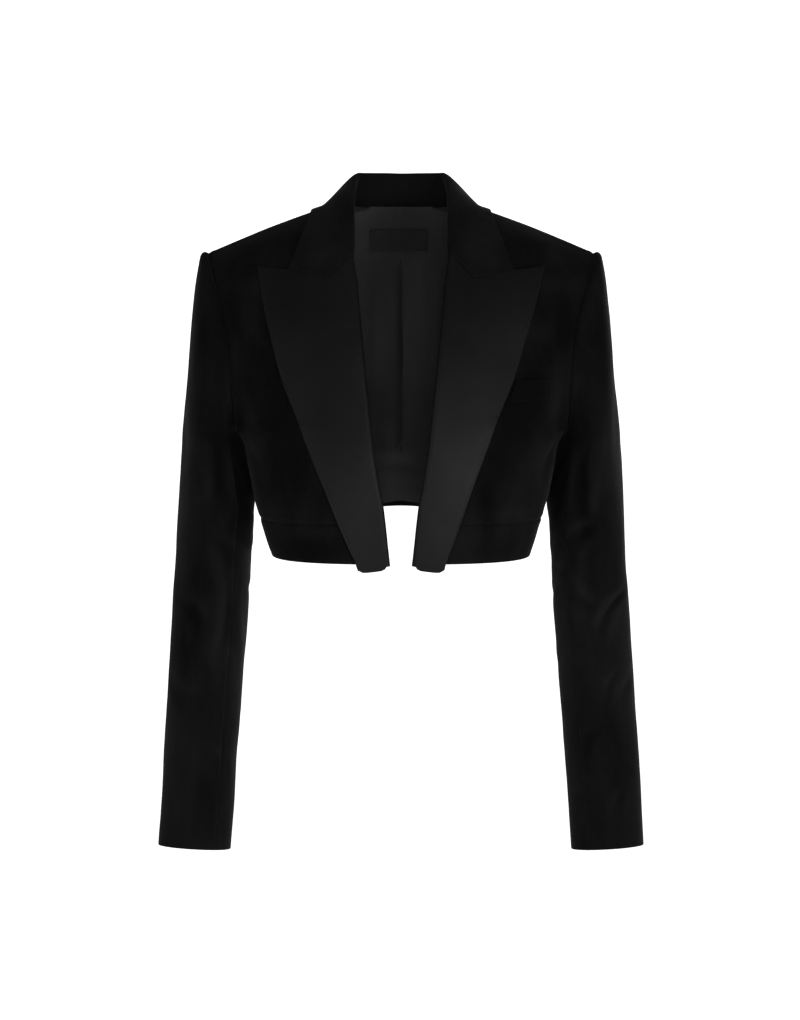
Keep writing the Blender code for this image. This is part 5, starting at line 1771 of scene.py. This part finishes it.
def label_piece(cloths, thread, surface, step):
    """The bare label, and a tack of thread at each corner."""
    depth = VELVET_WALL + LINING_CLEAR + LINING_WALL + LABEL_CLEAR + LABEL_WALL
    xs = LABEL_MID_X + LABEL_HALF_WIDTH * (2.0 * shares_of(2.0 * LABEL_HALF_WIDTH, step) - 1.0)
    zs = LABEL_MID_Z + LABEL_HALF_HEIGHT * (2.0 * shares_of(2.0 * LABEL_HALF_HEIGHT, step) - 1.0)
    keys = np.array([[inside_back(surface, x, z, depth) for x in xs] for z in zs])
    facing = outward_normals(keys, (len(zs) // 2, len(xs) // 2), FORWARDS)
    distance = border_distances(keys)
    side = np.minimum(distance["start"], distance["end"])
    height = waved(keys, "label")
    for border in ("head", "foot"):
        height += LABEL_HEM_RISE * np.exp(-(distance[border] / LABEL_HEM_WIDE) ** 2)
    height -= TACK_SINK * np.exp(-(side - TACK_IN) ** 2)
    cloth_piece("neck_label", "label", keys, facing, LABEL_WALL, FOLDED, cloths,
                creases=height)
    places, runs, outs = [], [], []
    for i in (int(np.argmin(np.abs(distance["foot"][:, 0] - TACK_IN))),
              int(np.argmin(np.abs(distance["head"][:, 0] - TACK_IN)))):
        for j in (int(np.argmin(np.abs(distance["start"][0] - TACK_IN))),
                  int(np.argmin(np.abs(distance["end"][0] - TACK_IN)))):
            for up in TACK_STITCHES:
                lift = height[i, j] + TACK_LIFT
                places.append(keys[i, j] + facing[i, j] * lift + [0.0, 0.0, up])
                runs.append(unit(keys[i, min(j + 1, len(xs) - 1)] - keys[i, j - 1] + [0, 0, up]))
                outs.append(facing[i, j])
    tacks = threads("neck_label_tacks", places, runs, outs, TACK_LONG, TACK_RADIUS, TACK_ARCH,
                    thread)
    add_thread(tacks)


# Studio. The floor is as far below the shoulders as it is under a standing figure, and curls up
# all round into a plain wall. The paper glows so much for the jacket, and is plain white to the
# camera. Each light has its place, size and power, and looks at the jacket.
FLOOR_Z = -1.38
FLOOR_RADIUS = 5.2
WALL_RADIUS = 7.4
WALL_TOP = 2.75
FLOOR_SIDES = 96
FLOOR_RINGS = (0.0, 1.0, 2.5, 4.0, FLOOR_RADIUS)
CURL_TURNS = range(10, 91, 10)
PAPER_GLOW = 0.32
Light = namedtuple("Light", "name x y z size_x size_y watts")
LIGHTS = table(Light, (
    ("key", 1.7, -2.7, -0.5, 1.5, 1.6, 38),
    ("fill", -2.2, -2.3, -0.2, 1.5, 1.8, 15),
    ("front", 0.15, -3.3, -0.1, 0.7, 0.7, 14),
    ("rim_left", 2.4, 0.7, -0.3, 0.6, 2, 7),
    ("rim_right", -2.4, 0.7, -0.3, 0.6, 2, 7),
    ("top", 0, 0.2, 2.8, 2, 1.4, 8),
    ("back_soft", 0.9, 3, 0.2, 2.2, 1.8, 40),
))
CAMERA_TARGET = (-0.00102, 0.0, -0.30294)
CAMERA_DISTANCE = 3.0
CAMERA_ELEVATION = 5.0
CAMERA_LENS = 103.8
CAMERA_SENSOR = 36.0


def stage_camera():
    """The camera, level with the photograph's."""
    data = bpy.data.cameras.new("camera")
    data.lens = CAMERA_LENS
    data.sensor_fit = "VERTICAL"
    data.sensor_height = CAMERA_SENSOR
    camera = bpy.data.objects.new("camera", data)
    rise = math.radians(CAMERA_ELEVATION)
    back = Vector((0.0, -math.cos(rise), math.sin(rise)))
    camera.location = Vector(CAMERA_TARGET) + back * CAMERA_DISTANCE
    camera.rotation_mode = "QUATERNION"
    camera.rotation_quaternion = (-back).to_track_quat("-Z", "Y")
    bpy.context.scene.collection.objects.link(camera)
    bpy.context.scene.camera = camera


def stage_floor(colour):
    """A round pale floor that curls up into a wall. It is clear when it is seen from below."""
    rings = [(radius, 0.0) for radius in FLOOR_RINGS]
    curl = WALL_RADIUS - FLOOR_RADIUS
    for turn in np.radians(CURL_TURNS):
        rings.append((FLOOR_RADIUS + curl * math.sin(turn), curl * (1.0 - math.cos(turn))))
    rings.append((WALL_RADIUS, WALL_TOP))
    points, faces = [], []
    for radius, height in rings:
        for turn in 2.0 * math.pi * np.arange(FLOOR_SIDES) / FLOOR_SIDES:
            points.append((radius * math.cos(turn), radius * math.sin(turn), FLOOR_Z + height))
    for i in range(len(rings) - 1):
        for k in range(FLOOR_SIDES):
            a, b = i * FLOOR_SIDES + k, i * FLOOR_SIDES + (k + 1) % FLOOR_SIDES
            faces.append((a, a + FLOOR_SIDES, b + FLOOR_SIDES, b))
    mesh = bpy.data.meshes.new("studio_floor")
    mesh.from_pydata(points, [], faces)
    mesh.shade_smooth()
    paper = bpy.data.materials.new("pale_paper")
    paper.use_nodes = True
    g = Graph(paper.node_tree)
    shader = paper.node_tree.nodes["Principled BSDF"]
    output = paper.node_tree.nodes["Material Output"]
    shader.inputs["Base Color"].default_value = (*colour, 1.0)
    shader.inputs["Roughness"].default_value = 0.95
    shader.inputs["Specular IOR Level"].default_value = 0.1
    shader.inputs["Emission Color"].default_value = (1.0, 1.0, 1.0, 1.0)
    rays = g.add("ShaderNodeLightPath")
    glow = g.add("ShaderNodeMapRange", {"To Min": PAPER_GLOW, "To Max": 1.0})
    g.link(rays, "Is Camera Ray", glow, "Value")
    g.link(glow, "Result", shader, "Emission Strength")
    side = g.add("ShaderNodeNewGeometry")
    clear = g.add("ShaderNodeBsdfTransparent")
    either = g.add("ShaderNodeMixShader")
    g.link(side, "Backfacing", either, "Fac")
    g.tree.links.new(shader.outputs["BSDF"], either.inputs[1])
    g.tree.links.new(clear.outputs["BSDF"], either.inputs[2])
    g.link(either, "Shader", output, "Surface")
    mesh.materials.append(paper)
    floor = bpy.data.objects.new("studio_floor", mesh)
    bpy.context.scene.collection.objects.link(floor)


def stage_lights(strength, sky):
    """Soft lights that look at the jacket, and an even light from all round."""
    for row in LIGHTS:
        data = bpy.data.lights.new(row.name, "AREA")
        data.shape = "RECTANGLE"
        data.size, data.size_y = row.size_x, row.size_y
        data.energy = row.watts * strength
        lamp = bpy.data.objects.new(row.name, data)
        lamp.location = (row.x, row.y, row.z)
        aim = Vector(CAMERA_TARGET) - lamp.location
        lamp.rotation_mode = "QUATERNION"
        lamp.rotation_quaternion = aim.to_track_quat("-Z", "Y")
        lamp.visible_camera = False
        bpy.context.scene.collection.objects.link(lamp)
    world = bpy.data.worlds.new("studio_air")
    world.use_nodes = True
    g = Graph(world.node_tree)
    air = world.node_tree.nodes["Background"]
    rays = g.add("ShaderNodeLightPath")
    glow = g.add("ShaderNodeMapRange", {"To Min": sky, "To Max": 1.0})
    g.link(rays, "Is Camera Ray", glow, "Value")
    g.link(glow, "Result", air, "Strength")
    air.inputs["Color"].default_value = (1.0, 1.0, 1.0, 1.0)
    bpy.context.scene.world = world
    bpy.context.scene.view_settings.view_transform = "Standard"


def spacing(label, description, metres, least):
    """A property for how far apart the points of a mesh are."""
    return bpy.props.FloatProperty(name=label, description=description, default=metres,
                                   min=least, max=0.02, unit="LENGTH")


def grey(label, description, value):
    """A property for a colour, as it is first without a hue."""
    return bpy.props.FloatVectorProperty(name=label, description=description, subtype="COLOR",
                                         size=3, default=(value,) * 3, min=0.0, max=1.0)


class JacketSizes(bpy.types.PropertyGroup):
    body_step: spacing("Panel spacing", "Distance between a velvet panel's points", 0.0034, 0.002)
    fine_step: spacing("Fine spacing", "The same on lapels and collar", 0.0024, 0.0015)


class JacketColours(bpy.types.PropertyGroup):
    # Velvet: the dark tone is also painted shade in troughs and under the arms, and the brushed
    # tone painted highlight and sheen on ridges and sleeve edges, besides lighter and darker pile.
    velvet_dark_and_shade: grey("Velvet", "The velvet where its pile lies towards the eye", 0.0026)
    velvet_light_and_highlight: grey("Velvet, brushed", "The velvet where its pile is brushed over", 0.0085)
    # Satin: the pressed tone is the painted highlight low on the lapels, and the dark one painted
    # shade above it.
    satin_dark_and_shade: grey("Satin", "The satin of the lapels", 0.002)
    satin_light_and_highlight: grey("Satin, pressed", "The satin where it was pressed", 0.0075)
    # Lining: painted shade in its hollows and painted highlight where it stands up.
    lining_dark_and_shade: grey("Lining", "The lining in its hollows", 0.0125)
    lining_light_and_highlight: grey("Lining, raised", "The lining where it stands up", 0.031)
    tape: grey("Label", "The bare tape of the neck label", 0.0145)
    paper: grey("Floor", "The pale floor and wall", 0.93)


class JacketStudio(bpy.types.PropertyGroup):
    strength: bpy.props.FloatProperty(
        name="Lights", description="Multiplies the power of all the lights",
        default=1.0, min=0.0, max=20.0)
    sky: bpy.props.FloatProperty(
        name="Air", description="Strength of the even light from all round",
        default=0.09, min=0.0, max=10.0)


class JACKET_OT_cloths(bpy.types.Operator):
    """Makes the materials of velvet, satin, lining, label and thread"""
    bl_idname = "jacket.cloths"
    bl_label = "Cloths"

    def execute(self, context):
        colours = context.scene.jacket_colours
        uneven_tone_group()
        thread_relief_group()
        make_cloth("black_velvet", colours.velvet_dark_and_shade, colours.velvet_light_and_highlight)
        make_cloth("black_satin", colours.satin_dark_and_shade, colours.satin_light_and_highlight)
        make_cloth("black_lining", colours.lining_dark_and_shade, colours.lining_light_and_highlight)
        make_cloth("black_tape", colours.tape, colours.lining_dark_and_shade)
        make_cloth("black_thread", colours.satin_light_and_highlight, colours.lining_dark_and_shade)
        return {"FINISHED"}


class JACKET_OT_fronts(bpy.types.Operator):
    """Makes both fronts and their waist bands"""
    bl_idname = "jacket.fronts"
    bl_label = "Fronts"

    def execute(self, context):
        cloths = cloths_named("black_velvet", "black_lining")
        front_panels(cloths, context.scene.jacket_sizes.body_step / MM)
        return {"FINISHED"}


class JACKET_OT_backs(bpy.types.Operator):
    """Makes both backs and the back waist band"""
    bl_idname = "jacket.backs"
    bl_label = "Backs"

    def execute(self, context):
        cloths = cloths_named("black_velvet", "black_lining")
        back_panels(cloths, context.scene.jacket_sizes.body_step / MM)
        return {"FINISHED"}


class JACKET_OT_sleeves(bpy.types.Operator):
    """Makes the top and under sleeves with their elbow creases"""
    bl_idname = "jacket.sleeves"
    bl_label = "Sleeves"

    def execute(self, context):
        cloths = cloths_named("black_velvet", "black_lining")
        sleeve_panels(cloths, context.scene.jacket_sizes.body_step / MM)
        return {"FINISHED"}


class JACKET_OT_collar(bpy.types.Operator):
    """Makes the collar and the chest welt"""
    bl_idname = "jacket.collar"
    bl_label = "Collar and welt"

    def execute(self, context):
        surface = Surface()
        step = context.scene.jacket_sizes.fine_step / MM
        collar_piece(cloths_named("black_velvet"), surface, step)
        welt_piece(cloths_named("black_velvet"), surface, step / 2)
        return {"FINISHED"}


class JACKET_OT_lapels(bpy.types.Operator):
    """Makes the satin lapels and their pick stitches"""
    bl_idname = "jacket.lapels"
    bl_label = "Lapels"

    def execute(self, context):
        satin, thread = cloths_named("black_satin", "black_thread")
        lapel_pieces([satin], thread, Surface(), context.scene.jacket_sizes.fine_step / MM)
        return {"FINISHED"}


class JACKET_OT_lining(bpy.types.Operator):
    """Makes the pleated back lining and the bare neck label"""
    bl_idname = "jacket.lining"
    bl_label = "Lining and label"

    def execute(self, context):
        surface = Surface()
        lining_piece(cloths_named("black_lining"), surface)
        tape, thread = cloths_named("black_tape", "black_thread")
        label_piece([tape], thread, surface, context.scene.jacket_sizes.fine_step / MM / 2)
        return {"FINISHED"}


class JACKET_OT_studio(bpy.types.Operator):
    """Makes the camera, the pale floor and the soft lights"""
    bl_idname = "jacket.studio"
    bl_label = "Studio"

    def execute(self, context):
        studio = context.scene.jacket_studio
        stage_camera()
        stage_floor(context.scene.jacket_colours.paper)
        stage_lights(studio.strength, studio.sky)
        return {"FINISHED"}


OPERATORS = (JACKET_OT_studio, JACKET_OT_cloths, JACKET_OT_fronts, JACKET_OT_backs,
             JACKET_OT_sleeves, JACKET_OT_collar, JACKET_OT_lapels, JACKET_OT_lining)
GROUPS = {"jacket_sizes": JacketSizes, "jacket_colours": JacketColours,
          "jacket_studio": JacketStudio}


class JACKET_PT_sidebar(bpy.types.Panel):
    bl_label = "Spencer jacket"
    bl_space_type = "VIEW_3D"
    bl_region_type = "UI"
    bl_category = "Jacket"

    def draw(self, context):
        for key, kind in GROUPS.items():
            group = getattr(context.scene, key)
            for label in kind.__annotations__:
                self.layout.prop(group, label)
        for operator in OPERATORS:
            self.layout.operator(operator.bl_idname)


def register():
    for kind in (*GROUPS.values(), *OPERATORS, JACKET_PT_sidebar):
        bpy.utils.register_class(kind)
    for key, kind in GROUPS.items():
        setattr(bpy.types.Scene, key, bpy.props.PointerProperty(type=kind))


def unregister():
    for key in GROUPS:
        delattr(bpy.types.Scene, key)
    for kind in reversed((*GROUPS.values(), *OPERATORS, JACKET_PT_sidebar)):
        bpy.utils.unregister_class(kind)


def main():
    register()
    bpy.ops.jacket.studio()
    bpy.ops.jacket.cloths()
    bpy.ops.jacket.fronts()
    bpy.ops.jacket.backs()
    bpy.ops.jacket.sleeves()
    bpy.ops.jacket.collar()
    bpy.ops.jacket.lapels()
    bpy.ops.jacket.lining()


if __name__ == "__main__":
    main()
